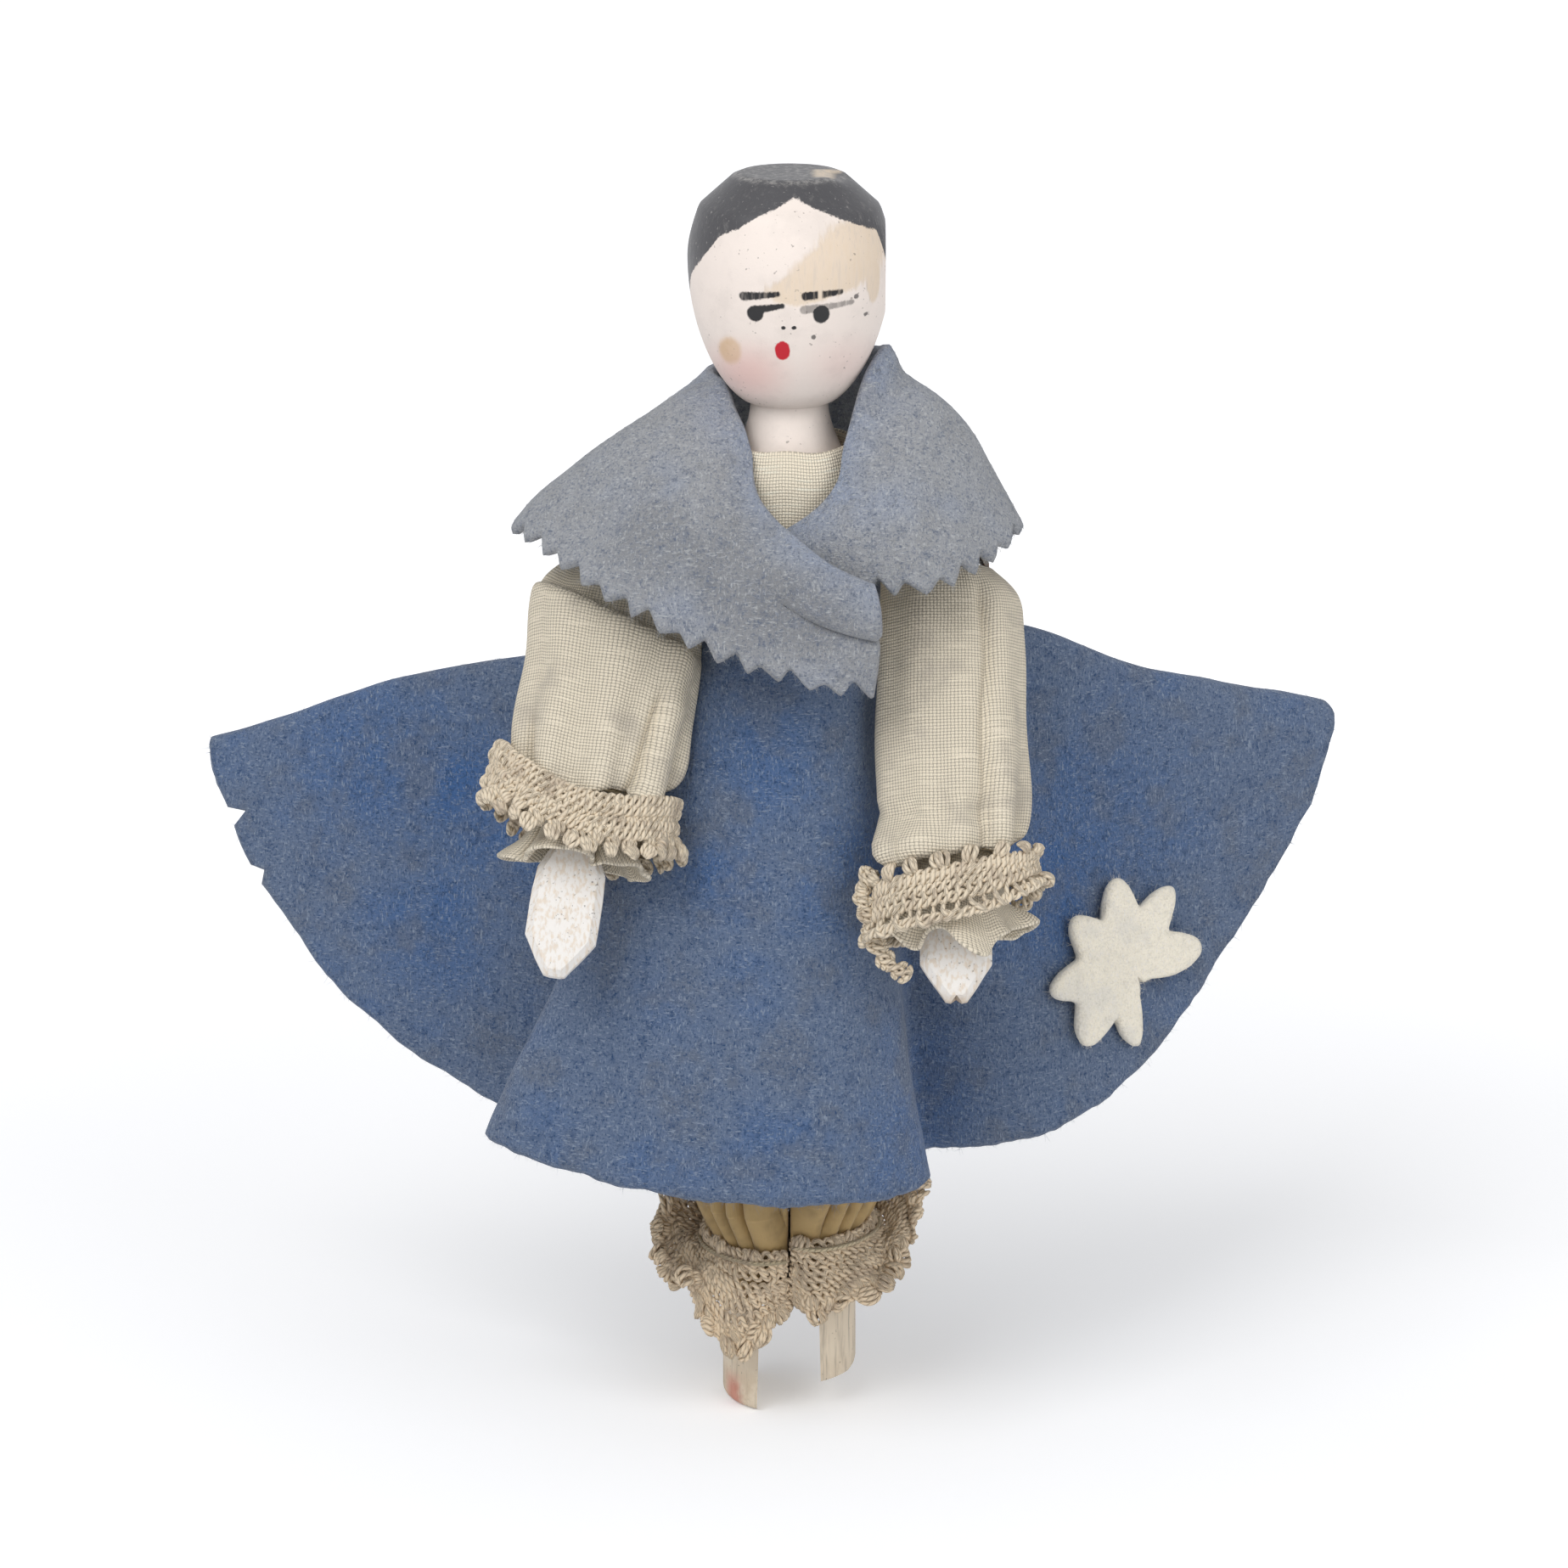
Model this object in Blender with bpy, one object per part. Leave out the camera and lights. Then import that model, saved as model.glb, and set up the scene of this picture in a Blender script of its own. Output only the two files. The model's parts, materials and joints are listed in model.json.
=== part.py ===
# Peg doll: a turned clothes peg dressed in felt and muslin, with two arms that swing on one wire.
# The doll faces -Y, +Z is up, and its own right side is at -X. Sizes are in millimetres.
import math

import bmesh
import bpy
import numpy as np
from mathutils import Vector
from mathutils.bvhtree import BVHTree

MM = 0.001
FIT_GAP = 0.3

# Clothes peg
PEG_LENGTH = 107.5
CROWN_RADIUS = 4.5
CROWN_SLOPE_HEIGHT = 2.7
BROW_RADIUS = 7.5
HEAD_RADIUS = 8.45
HEAD_WIDEST_BELOW_CROWN = 7.1
HEAD_HEIGHT = 19.3
HEAD_WORN_FLAT = 7.95
NECK_RADIUS = 3.25
NECK_FLARE_HEIGHT = 8.5
SHAFT_RADIUS = 5.75
FOOT_CHAMFER = 0.5
SLOT_HEIGHT = 50.0
SLOT_TOP_WIDTH = 3.0
SLOT_FOOT_WIDTH = 5.6
SHORT_PRONG_LOSS = 3.0
PEG_SIDES = 28

# Shoulder wire and arms
SHOULDER_BELOW_CROWN = 32.5
SHOULDER_REACH = 13.8
WIRE_RADIUS = 0.4
WIRE_BORE_CLEARANCE = 0.2
WIRE_END_BEND = 1.8
ARM_LEAN = 28.0
ARM_HEAD_ABOVE_WIRE = 1.7
ARM_HALF_WIDTH = 1.9
ARM_THICKNESS = 1.9
HAND_HALF_WIDTH = 3.0
HAND_LENGTH = 9.0
HAND_TIP_LENGTH = 3.2
HAND_TIP_HALF_WIDTH = 0.9
RIGHT_ARM_LENGTH = 36.5
LEFT_ARM_LENGTH = 38.2
RIGHT_ARM_SPREAD = 9.0
LEFT_ARM_SPREAD = 0.0
RIGHT_WRIST = 20.5
LEFT_WRIST = 25.5

# Sleeves, wrist threads and cuff lace
MUSLIN = 0.5
SLEEVE_TOP = 1.7
SLEEVE_TOP_INNER = 6.0
SLEEVE_TOP_OUTER = 4.4
SLEEVE_TOP_FRONT = 3.0
# Half widths of each puffed sleeve: towards the body, then away from it.
RIGHT_PUFF = (7.5, 6.9)
LEFT_PUFF = (6.5, 5.8)
PUFF_FRONT = 4.6
PUFF_BACK = 2.3
WRIST_HALF_WIDTH = 3.5
WRIST_HALF_DEPTH = 2.05
WRIST_GATHER = 3.0
WRIST_FLAT = 0.8
WRIST_FLARE = 0.3
RUFFLE_LENGTH = 7.2
RUFFLE_HALF_WIDTH = 6.0
RUFFLE_FRONT = 4.0
SLEEVE_PLEATS = 9
THREAD_RADIUS = 0.25
LACE = 0.8
CUFF_LACE_WIDTH = 5.0
CUFF_LACE_EASE = 0.4
CUFF_LACE_FLARE = 2.3
CUFF_LACE_FRONT_FLARE = 0.9
CUFF_LACE_SCALLOPS = 14
LACE_SCALLOP = 0.5
# How far the band is pushed up at its inner and outer ends, and how far its inner end hangs lower.
RIGHT_LACE_RISE = (2.6, -1.3)
LEFT_LACE_RISE = (0.5, 0.5)
RIGHT_LACE_TAIL = 0.0
LEFT_LACE_TAIL = 5.0
LACE_TAIL_START = 0.55

# Bodice
BODICE_TOP_BELOW_CROWN = 22.6
BODICE_BOTTOM_BELOW_CROWN = 49.0

# Skirt: a full circle of felt drawn in at the waist
FELT = 1.0
WAIST_BELOW_CROWN = 39.0
SKIRT_LENGTH = 46.0

# Shawl
SHAWL_FELT = 1.0
PINK_PITCH = 2.6
PINK_DEPTH = 1.2

# Flower
FLOWER_RADIUS = 7.2
FLOWER_NOTCH_RADIUS = 4.6
FLOWER_PETALS = 8
FLOWER_LOST_PETAL = 7
FLOWER_FELT = 1.0
FLOWER_LIFT = 0.45
FLOWER_SHOULDER = 0.82
FLOWER_PETAL_HALF = 0.27
FLOWER_ALONG_SKIRT = 0.82
FLOWER_FOLD = 6.56

# Pantalettes and ankle lace
SATEEN = 0.4
ANKLE_LACE = 0.5
ANKLE_THREAD_RADIUS = 0.2
LEG_TOP = 44.0
LEG_HEM = 10.5
LEG_FULLNESS = 1.1
LEG_GATHER = 1.5
LEG_PLEATS = 7
# Top and hem of each frill above the foot; the left one sits higher, on the shorter prong.
RIGHT_ANKLE_LACE = (15.0, 6.6)
LEFT_ANKLE_LACE = (16.2, 9.2)
FRILL_TIED_SHARE = 0.14
ANKLE_LACE_FLARE = 6.6
ANKLE_LACE_RISE = 9.0
ANKLE_LACE_WAVE = 1.1
ANKLE_LACE_WAVES = 4

SHOULDER_Z = PEG_LENGTH - SHOULDER_BELOW_CROWN
WAIST_Z = PEG_LENGTH - WAIST_BELOW_CROWN
BODICE_RADIUS = SHAFT_RADIUS + FIT_GAP + MUSLIN / 2
WAIST_RADIUS = BODICE_RADIUS + MUSLIN / 2 + FIT_GAP + FELT / 2

# Skirt folds: azimuth on the waist, azimuth of the fall, fall below the horizontal, in degrees.
# Azimuth 0 is the front and grows towards the doll's left.
SKIRT_FOLDS = [
    (-62, -72, 65),
    (-40, -42, 75),
    (-18, -19, 77),
    (10, 12, 77),
    (35, 49, 79),
    (66, 116, 84),
    (76, 89, 69),
    (86, 113, 43),
    (98, 115, 15),
    (112, 134, 45),
    (127, 142, 75),
    (152, 152, 62),
    (180, 180, 70),
    (208, 208, 62),
    (233, 220, 75),
    (249, 237, 45),
    (263, 255, 17),
    (274, 259, 45),
    (286, 264, 72),
]
SKIRT_COLUMNS_PER_FOLD = 4
SKIRT_ROWS = 5

# Shawl sections: azimuth, radius and height below the crown of the neck edge, then of the hem.
SHAWL_SECTIONS = [
    (-20, 7.9, 28.5, 9.4, 37.0),
    (0, 7.8, 26.0, 10.2, 35.0),
    (18, 7.6, 23.5, 12.0, 33.7),
    (32, 7.5, 21.5, 14.3, 32.8),
    (44, 7.6, 19.9, 17.4, 32.3),
    (66, 8.2, 17.3, 18.4, 31.0),
    (86, 8.9, 15.8, 19.3, 29.9),
    (115, 8.9, 16.0, 17.5, 33.5),
    (180, 8.3, 17.0, 16.0, 41.0),
    (245, 7.5, 17.6, 18.6, 34.5),
    (274, 7.0, 18.3, 23.0, 29.9),
    (292, 6.9, 19.4, 21.4, 30.6),
    (317, 7.2, 21.4, 19.2, 33.9),
    (338, 8.8, 24.5, 16.2, 37.6),
    (356, 11.0, 27.2, 14.8, 39.3),
    (372, 13.2, 29.9, 15.1, 40.4),
    (386, 15.3, 31.6, 15.2, 41.1),
]
SHAWL_SWELL = 1.3
SHAWL_ROWS = 4

CREAM_PAINT = (0.87, 0.80, 0.72)
WHITE_PAINT = (0.84, 0.83, 0.80)
WIRE_GREY = (0.35, 0.34, 0.33)
MUSLIN_BEIGE = (0.60, 0.51, 0.36)
LACE_BEIGE = (0.58, 0.46, 0.31)
THREAD_BEIGE = (0.55, 0.47, 0.34)
SHAWL_GREY = (0.30, 0.35, 0.41)
SKIRT_BLUE = (0.058, 0.107, 0.23)
IVORY = (0.80, 0.74, 0.60)
SATEEN_TAN = (0.42, 0.30, 0.14)


# Scene and object helpers
def clear_scene():
    for old in list(bpy.data.objects):
        bpy.data.objects.remove(old, do_unlink=True)


def material(name, colour, roughness, metallic=0.0):
    finish = bpy.data.materials.new(name)
    finish.use_nodes = True
    shader = finish.node_tree.nodes["Principled BSDF"]
    shader.inputs["Base Color"].default_value = (*colour, 1.0)
    shader.inputs["Roughness"].default_value = roughness
    shader.inputs["Metallic"].default_value = metallic
    return finish


def add_object(name, bm, finish, parent, origin=(0, 0, 0)):
    """Turn a bmesh in millimetres into an object in metres with its origin at the given point."""
    bmesh.ops.translate(bm, verts=bm.verts, vec=-Vector(origin))
    bmesh.ops.scale(bm, verts=bm.verts, vec=(MM, MM, MM))
    bmesh.ops.recalc_face_normals(bm, faces=bm.faces)
    mesh = bpy.data.meshes.new(name)
    bm.to_mesh(mesh)
    bm.free()
    mesh.shade_smooth()
    mesh.set_sharp_from_angle(angle=math.radians(40))
    obj = bpy.data.objects.new(name, mesh)
    bpy.context.scene.collection.objects.link(obj)
    obj.parent = parent
    obj.location = Vector(origin) * MM
    if finish:
        mesh.materials.append(finish)
    return obj


def add_empty(name, parent=None, origin=(0, 0, 0)):
    empty = bpy.data.objects.new(name, None)
    bpy.context.scene.collection.objects.link(empty)
    empty.parent = parent
    empty.location = Vector(origin) * MM
    return empty


def cut(obj, cutter):
    cutter.hide_render = True
    cutter.display_type = "WIRE"
    boolean = obj.modifiers.new("cut", "BOOLEAN")
    boolean.operation = "DIFFERENCE"
    boolean.object = cutter


# Shape helpers
def polar(radius, azimuth):
    angle = np.radians(azimuth)
    return radius * np.sin(angle), -radius * np.cos(angle)


def spline(keys, samples, closed):
    """Points at even steps along a Catmull-Rom curve through the keys."""
    keys = np.asarray(keys, float)
    count = len(keys)
    spans = count if closed else count - 1
    t = np.linspace(0, spans, samples, endpoint=not closed)
    i = np.minimum(t.astype(int), spans - 1)
    f = (t - i)[:, None]
    near = [keys[(i + k) % count] if closed else keys[np.clip(i + k, 0, count - 1)] for k in (-1, 0, 1, 2)]
    a, b, c, d = near
    return b + 0.5 * f * (c - a + f * (2 * a - 5 * b + 4 * c - d + f * (3 * (b - c) + d - a)))


def grid_normals(grid, closed):
    if closed:
        across = np.roll(grid, -1, axis=1) - np.roll(grid, 1, axis=1)
    else:
        across = np.gradient(grid, axis=1)
    down = np.gradient(grid, axis=0)
    normals = np.cross(across, down)
    return normals / np.linalg.norm(normals, axis=2, keepdims=True)


def cloth_bmesh(grid, thickness, closed):
    """A closed sheet of even thickness about a grid of points, rows from its top edge to its hem."""
    rows, columns = grid.shape[:2]
    offset = grid_normals(grid, closed) * thickness / 2
    bm = bmesh.new()
    front = [[bm.verts.new(p) for p in row] for row in grid + offset]
    back = [[bm.verts.new(p) for p in row] for row in grid - offset]
    spans = columns if closed else columns - 1
    for j in range(spans):
        k = (j + 1) % columns
        for i in range(rows - 1):
            bm.faces.new((front[i][j], front[i][k], front[i + 1][k], front[i + 1][j]))
            bm.faces.new((back[i][j], back[i + 1][j], back[i + 1][k], back[i][k]))
        bm.faces.new((front[0][j], back[0][j], back[0][k], front[0][k]))
        bm.faces.new((front[-1][j], front[-1][k], back[-1][k], back[-1][j]))
    if not closed:
        for i in range(rows - 1):
            bm.faces.new((front[i][0], front[i + 1][0], back[i + 1][0], back[i][0]))
            bm.faces.new((front[i][-1], back[i][-1], back[i + 1][-1], front[i + 1][-1]))
    return bm


def ring_bmesh(path, radius, sides=5):
    """A thread tied once round: a closed ring along a flat closed path."""
    path = np.asarray(path, float)
    along = np.roll(path, -1, axis=0) - np.roll(path, 1, axis=0)
    along /= np.linalg.norm(along, axis=1, keepdims=True)
    up = np.cross(path[0] - path.mean(axis=0), along[0])
    up /= np.linalg.norm(up)
    out = np.cross(along, up)
    out /= np.linalg.norm(out, axis=1, keepdims=True)
    bm = bmesh.new()
    angles = [2 * math.pi * s / sides for s in range(sides)]
    rings = [[bm.verts.new(path[j] + radius * (math.cos(a) * out[j] + math.sin(a) * up)) for a in angles]
             for j in range(len(path))]
    for j in range(len(path)):
        k = (j + 1) % len(path)
        for s in range(sides):
            n = (s + 1) % sides
            bm.faces.new((rings[j][s], rings[k][s], rings[k][n], rings[j][n]))
    return bm


def lathe_bmesh(profile, sides):
    """Spin an outline of (radius, height) points about the Z axis."""
    bm = bmesh.new()
    verts = [bm.verts.new((r, 0, z)) for r, z in profile]
    edges = [bm.edges.new(pair) for pair in zip(verts, verts[1:])]
    bmesh.ops.spin(bm, geom=verts + edges, cent=(0, 0, 0), axis=(0, 0, 1), angle=2 * math.pi, steps=sides)
    bmesh.ops.remove_doubles(bm, verts=bm.verts, dist=0.001)
    return bm


def prism_bmesh(outline, direction):
    """Extrude a closed flat outline along a direction."""
    bm = bmesh.new()
    face = bm.faces.new([bm.verts.new(p) for p in outline])
    moved = bmesh.ops.extrude_face_region(bm, geom=[face])["geom"]
    bmesh.ops.translate(bm, verts=[v for v in moved if isinstance(v, bmesh.types.BMVert)], vec=direction)
    return bm


def rod_bmesh(start, end, radius, sides=12):
    start = Vector(start)
    along = Vector(end) - start
    turn = along.to_track_quat("Z", "Y")
    circle = [start + turn @ Vector((radius * math.cos(a), radius * math.sin(a), 0))
              for a in np.linspace(0, 2 * math.pi, sides, endpoint=False)]
    return prism_bmesh(circle, along)


# Clothes peg
def peg_profile():
    """The turned outline from the crown to the feet, on its outer side."""
    widest = PEG_LENGTH - HEAD_WIDEST_BELOW_CROWN
    neck = PEG_LENGTH - HEAD_HEIGHT
    brow = PEG_LENGTH - CROWN_SLOPE_HEIGHT
    profile = [(0, PEG_LENGTH), (CROWN_RADIUS, PEG_LENGTH), (BROW_RADIUS, brow)]
    for step in (0.4, 0.75, 1.0):
        profile.append((BROW_RADIUS + (HEAD_RADIUS - BROW_RADIUS) * math.sin(step * math.pi / 2),
                        brow + (widest - brow) * step))
    for drop in (0.25, 0.45, 0.62, 0.76, 0.87, 0.95, 1.0):
        profile.append((NECK_RADIUS + (HEAD_RADIUS - NECK_RADIUS) * (1 - drop ** 2) ** 0.8,
                        widest + (neck - widest) * drop))
    for drop in (0.15, 0.35, 0.6, 0.8, 1.0):
        ease = drop * drop * (3 - 2 * drop)
        profile.append((NECK_RADIUS + (SHAFT_RADIUS - NECK_RADIUS) * ease, neck - NECK_FLARE_HEIGHT * drop))
    profile += [(SHAFT_RADIUS, FOOT_CHAMFER), (SHAFT_RADIUS - FOOT_CHAMFER, 0), (0, 0)]
    return profile


def slot_half_width(height):
    """Half the gap between the prongs at a height above the feet."""
    return 0.5 * (SLOT_FOOT_WIDTH + (SLOT_TOP_WIDTH - SLOT_FOOT_WIDTH) * height / SLOT_HEIGHT)


def make_peg(root):
    peg = add_object("clothes_peg", lathe_bmesh(peg_profile(), PEG_SIDES),
                     material("cream_paint_on_wood", CREAM_PAINT, 0.55), root)
    deep = 4 * SHAFT_RADIUS
    below = -FOOT_CHAMFER
    crotch = SLOT_TOP_WIDTH / 2
    slot = [(slot_half_width(below), -deep / 2, below), (crotch, -deep / 2, SLOT_HEIGHT)]
    slot += [(crotch * math.cos(a), -deep / 2, SLOT_HEIGHT + crotch * math.sin(a))
             for a in (math.pi / 4, math.pi / 2, 3 * math.pi / 4)]
    slot += [(-crotch, -deep / 2, SLOT_HEIGHT), (-slot_half_width(below), -deep / 2, below)]
    cut(peg, add_object("slot_cutter", prism_bmesh(slot, (0, deep, 0)), None, root))
    trim = [(0, -deep, below), (deep, -deep, below), (deep, -deep, SHORT_PRONG_LOSS),
            (0, -deep, SHORT_PRONG_LOSS)]
    cut(peg, add_object("short_prong_cutter", prism_bmesh(trim, (0, 2 * deep, 0)), None, root))
    bore = WIRE_RADIUS + WIRE_BORE_CLEARANCE
    ends = ((-deep, 0, SHOULDER_Z), (deep, 0, SHOULDER_Z))
    cut(peg, add_object("wire_bore_cutter", rod_bmesh(*ends, bore), None, root))
    neck = PEG_LENGTH - HEAD_HEIGHT
    flat = [(HEAD_WORN_FLAT, -deep, neck), (deep, -deep, neck), (deep, -deep, PEG_LENGTH),
            (HEAD_WORN_FLAT, -deep, PEG_LENGTH)]
    cut(peg, add_object("worn_flat_cutter", prism_bmesh(flat, (0, 2 * deep, 0)), None, root))


# Shoulder wire
def make_wire(root):
    """One wire through the peg, bent down past each arm so that the arms stay on."""
    reach = SHOULDER_REACH + ARM_HALF_WIDTH + WIRE_RADIUS + FIT_GAP
    bend = 2 * WIRE_RADIUS
    route = []
    for side in (-1, 1):
        end = [(side * reach, 0, SHOULDER_Z - WIRE_END_BEND), (side * reach, 0, SHOULDER_Z - bend),
               (side * (reach - 0.3 * bend), 0, SHOULDER_Z - 0.3 * bend),
               (side * (reach - bend), 0, SHOULDER_Z)]
        route += end if side < 0 else end[::-1]
    curve = bpy.data.curves.new("shoulder_wire", "CURVE")
    curve.dimensions = "3D"
    curve.bevel_depth = WIRE_RADIUS * MM
    curve.bevel_resolution = 2
    curve.use_fill_caps = True
    line = curve.splines.new("POLY")
    line.points.add(len(route) - 1)
    for point, place in zip(line.points, route):
        point.co = (*(Vector(place) * MM), 1)
    curve.materials.append(material("wire", WIRE_GREY, 0.45, 1.0))
    wire = bpy.data.objects.new("shoulder_wire", curve)
    bpy.context.scene.collection.objects.link(wire)
    wire.parent = root


class Arm:
    """One arm's frame: down along the stick, across it and out of its front face, from its pivot."""

    def __init__(self, name, side, length, spread, wrist, puff, lace_rise, lace_tail):
        lean = math.radians(ARM_LEAN)
        turn = math.radians(spread) * side
        straight = np.array([0, -math.sin(lean), -math.cos(lean)])
        level = np.array([1.0, 0, 0])
        self.name = name
        self.side = side
        self.length = length
        self.wrist = wrist
        self.puff = puff
        self.lace_rise = lace_rise
        self.lace_tail = lace_tail
        self.pivot = np.array([side * SHOULDER_REACH, 0, SHOULDER_Z])
        self.down = math.cos(turn) * straight + math.sin(turn) * level
        self.across = math.cos(turn) * level - math.sin(turn) * straight
        self.front = np.array([0, -math.cos(lean), math.sin(lean)])

    def place(self, down, across, front):
        offset = np.multiply.outer(down, self.down) + np.multiply.outer(across, self.across)
        return self.pivot + offset + np.multiply.outer(front, self.front)


def make_arm_stick(arm, pivot):
    """A flat whittled stick that widens into a hand with a blunt point, bored across for the wire."""
    hand = arm.length - HAND_LENGTH
    half = [(-ARM_HEAD_ABOVE_WIRE, 0.7 * ARM_HALF_WIDTH), (-0.3 * ARM_HEAD_ABOVE_WIRE, ARM_HALF_WIDTH),
            (hand - ARM_HALF_WIDTH, ARM_HALF_WIDTH), (hand, HAND_HALF_WIDTH),
            (arm.length - HAND_TIP_LENGTH, HAND_HALF_WIDTH), (arm.length, HAND_TIP_HALF_WIDTH)]
    outline = [arm.place(d, w, -ARM_THICKNESS / 2) for d, w in half]
    outline += [arm.place(d, -w, -ARM_THICKNESS / 2) for d, w in reversed(half)]
    stick = add_object(arm.name + "_arm_stick", prism_bmesh(outline, Vector(arm.front) * ARM_THICKNESS),
                       material("white_paint_on_wood_" + arm.name, WHITE_PAINT, 0.6), pivot.parent, arm.pivot)
    stick.parent = pivot
    stick.location = (0, 0, 0)
    bevel = stick.modifiers.new("whittled_edges", "BEVEL")
    bevel.width = 0.2 * ARM_THICKNESS * MM
    bevel.segments = 1
    bore = WIRE_RADIUS + WIRE_BORE_CLEARANCE
    reach = 2 * HAND_HALF_WIDTH
    ends = (arm.pivot - (reach, 0, 0), arm.pivot + (reach, 0, 0))
    cutter = add_object(arm.name + "_arm_bore_cutter", rod_bmesh(*ends, bore), None, pivot, arm.pivot)
    cutter.location = (0, 0, 0)
    cut(stick, cutter)


def sleeve_sections(arm):
    """Rows of distance down the arm, half widths inside and outside, depths to front and back, pleat share."""
    wrist = arm.wrist
    inner, outer = arm.puff
    neat_width = WRIST_HALF_WIDTH + 0.7 * WRIST_FLARE
    neat_depth = WRIST_HALF_DEPTH + 0.3 * WRIST_FLARE
    loose_width = WRIST_HALF_WIDTH + WRIST_FLARE
    loose_depth = WRIST_HALF_DEPTH + WRIST_FLARE
    hem = 0.7 * RUFFLE_HALF_WIDTH
    return [
        (SLEEVE_TOP, SLEEVE_TOP_INNER, SLEEVE_TOP_OUTER, SLEEVE_TOP_FRONT, PUFF_BACK, 0.0),
        (0.35 * wrist, 0.48 * (SLEEVE_TOP_INNER + inner), 0.95 * outer, 0.85 * PUFF_FRONT, PUFF_BACK, 0.02),
        (0.66 * wrist, inner, outer, PUFF_FRONT, PUFF_BACK, 0.035),
        (wrist - WRIST_GATHER, 0.8 * inner, 0.85 * outer, 0.85 * PUFF_FRONT, PUFF_BACK, 0.06),
        (wrist - WRIST_FLAT, neat_width, neat_width, neat_depth, WRIST_HALF_DEPTH, 0.0),
        (wrist, WRIST_HALF_WIDTH, WRIST_HALF_WIDTH, WRIST_HALF_DEPTH, WRIST_HALF_DEPTH, 0.0),
        (wrist + 1.5 * WRIST_FLAT, loose_width, loose_width, loose_depth, WRIST_HALF_DEPTH, 0.0),
        (wrist + 0.64 * RUFFLE_LENGTH, hem, hem, 0.75 * RUFFLE_FRONT, WRIST_HALF_DEPTH, 0.0),
        (wrist + RUFFLE_LENGTH, RUFFLE_HALF_WIDTH, RUFFLE_HALF_WIDTH, RUFFLE_FRONT, WRIST_HALF_DEPTH, 0.05),
    ]


def oval_ring(arm, section, columns, grow=0.0):
    """One ring round the arm: a flat oval, deeper at the front, with pleats."""
    down, inner, outer, front, back, pleat = section
    angle = np.linspace(0, 2 * math.pi, columns, endpoint=False)
    wave = 1 + pleat * np.cos(SLEEVE_PLEATS * angle)
    half_width = np.where(arm.side * np.cos(angle) > 0, outer, inner)
    across = (half_width + grow) * np.cos(angle) * wave
    depth = np.where(np.sin(angle) > 0, front + grow, back + grow) * np.sin(angle) * wave
    return arm.place(np.full(columns, down), across, depth)


def make_sleeve(arm, pivot):
    keys = sleeve_sections(arm)
    rows = spline(keys, len(keys) + 4, closed=False)
    grid = np.array([oval_ring(arm, row, 3 * SLEEVE_PLEATS) for row in rows])
    add_object(arm.name + "_sleeve", cloth_bmesh(grid, MUSLIN, closed=True),
               material("muslin_" + arm.name, MUSLIN_BEIGE, 0.9), pivot, arm.pivot).location = (0, 0, 0)


def make_wrist_thread(arm, pivot):
    ring = oval_ring(arm, sleeve_sections(arm)[5], 18, MUSLIN / 2 + FIT_GAP + THREAD_RADIUS)
    add_object(arm.name + "_wrist_thread", ring_bmesh(ring, THREAD_RADIUS),
               material("wrist_thread_" + arm.name, THREAD_BEIGE, 0.9), pivot, arm.pivot).location = (0, 0, 0)


def cuff_lace_ring(arm, fine, share, columns):
    """One row of the cuff lace: a loose oval, pushed up at its ends, with scallops on both edges."""
    angle = np.linspace(0, 2 * math.pi, columns, endpoint=False)
    end = np.cos(angle)
    top = arm.wrist + 2 * THREAD_RADIUS + FIT_GAP + LACE_SCALLOP
    down = top + share * (CUFF_LACE_WIDTH - LACE_SCALLOP)
    inner, outer, front, back, pleat = [float(np.interp(down, fine[:, 0], fine[:, c])) for c in range(1, 6)]
    seat = MUSLIN / 2 + FIT_GAP + CUFF_LACE_EASE + LACE / 2
    section = (down, inner + seat + CUFF_LACE_FLARE, outer + seat + CUFF_LACE_FLARE,
               front + seat + CUFF_LACE_FRONT_FLARE, back + seat, pleat)
    bow, slant = arm.lace_rise
    tail = arm.lace_tail * np.clip((-end - LACE_TAIL_START) / (1 - LACE_TAIL_START), 0, 1) ** 2
    scallop = LACE_SCALLOP * np.cos(CUFF_LACE_SCALLOPS * angle)
    shift = scallop * (2 * share - 1) - bow * end ** 2 - slant * end + share * tail
    return oval_ring(arm, section, columns) + np.multiply.outer(shift, arm.down)


def make_cuff_lace(arm, pivot):
    """A crocheted band over the sleeve below the wrist thread, with scalloped edges."""
    keys = sleeve_sections(arm)
    fine = spline(keys, 20 * (len(keys) - 1) + 1, closed=False)
    rows = [cuff_lace_ring(arm, fine, share, 4 * CUFF_LACE_SCALLOPS) for share in (0.0, 0.33, 0.67, 1.0)]
    add_object(arm.name + "_cuff_lace", cloth_bmesh(np.array(rows), LACE, closed=True),
               material("cuff_lace_" + arm.name, LACE_BEIGE, 0.9), pivot, arm.pivot).location = (0, 0, 0)


def make_arm(arm, root):
    pivot = add_empty(arm.name + "_arm_pivot", root, arm.pivot)
    make_arm_stick(arm, pivot)
    make_sleeve(arm, pivot)
    make_wrist_thread(arm, pivot)
    make_cuff_lace(arm, pivot)


# Bodice, skirt and waist thread
def peg_radius(height):
    outline = sorted((z, r) for r, z in peg_profile() if 0 < r and z < PEG_LENGTH - HEAD_HEIGHT + 0.01)
    return float(np.interp(height, [z for z, r in outline], [r for z, r in outline]))


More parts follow.
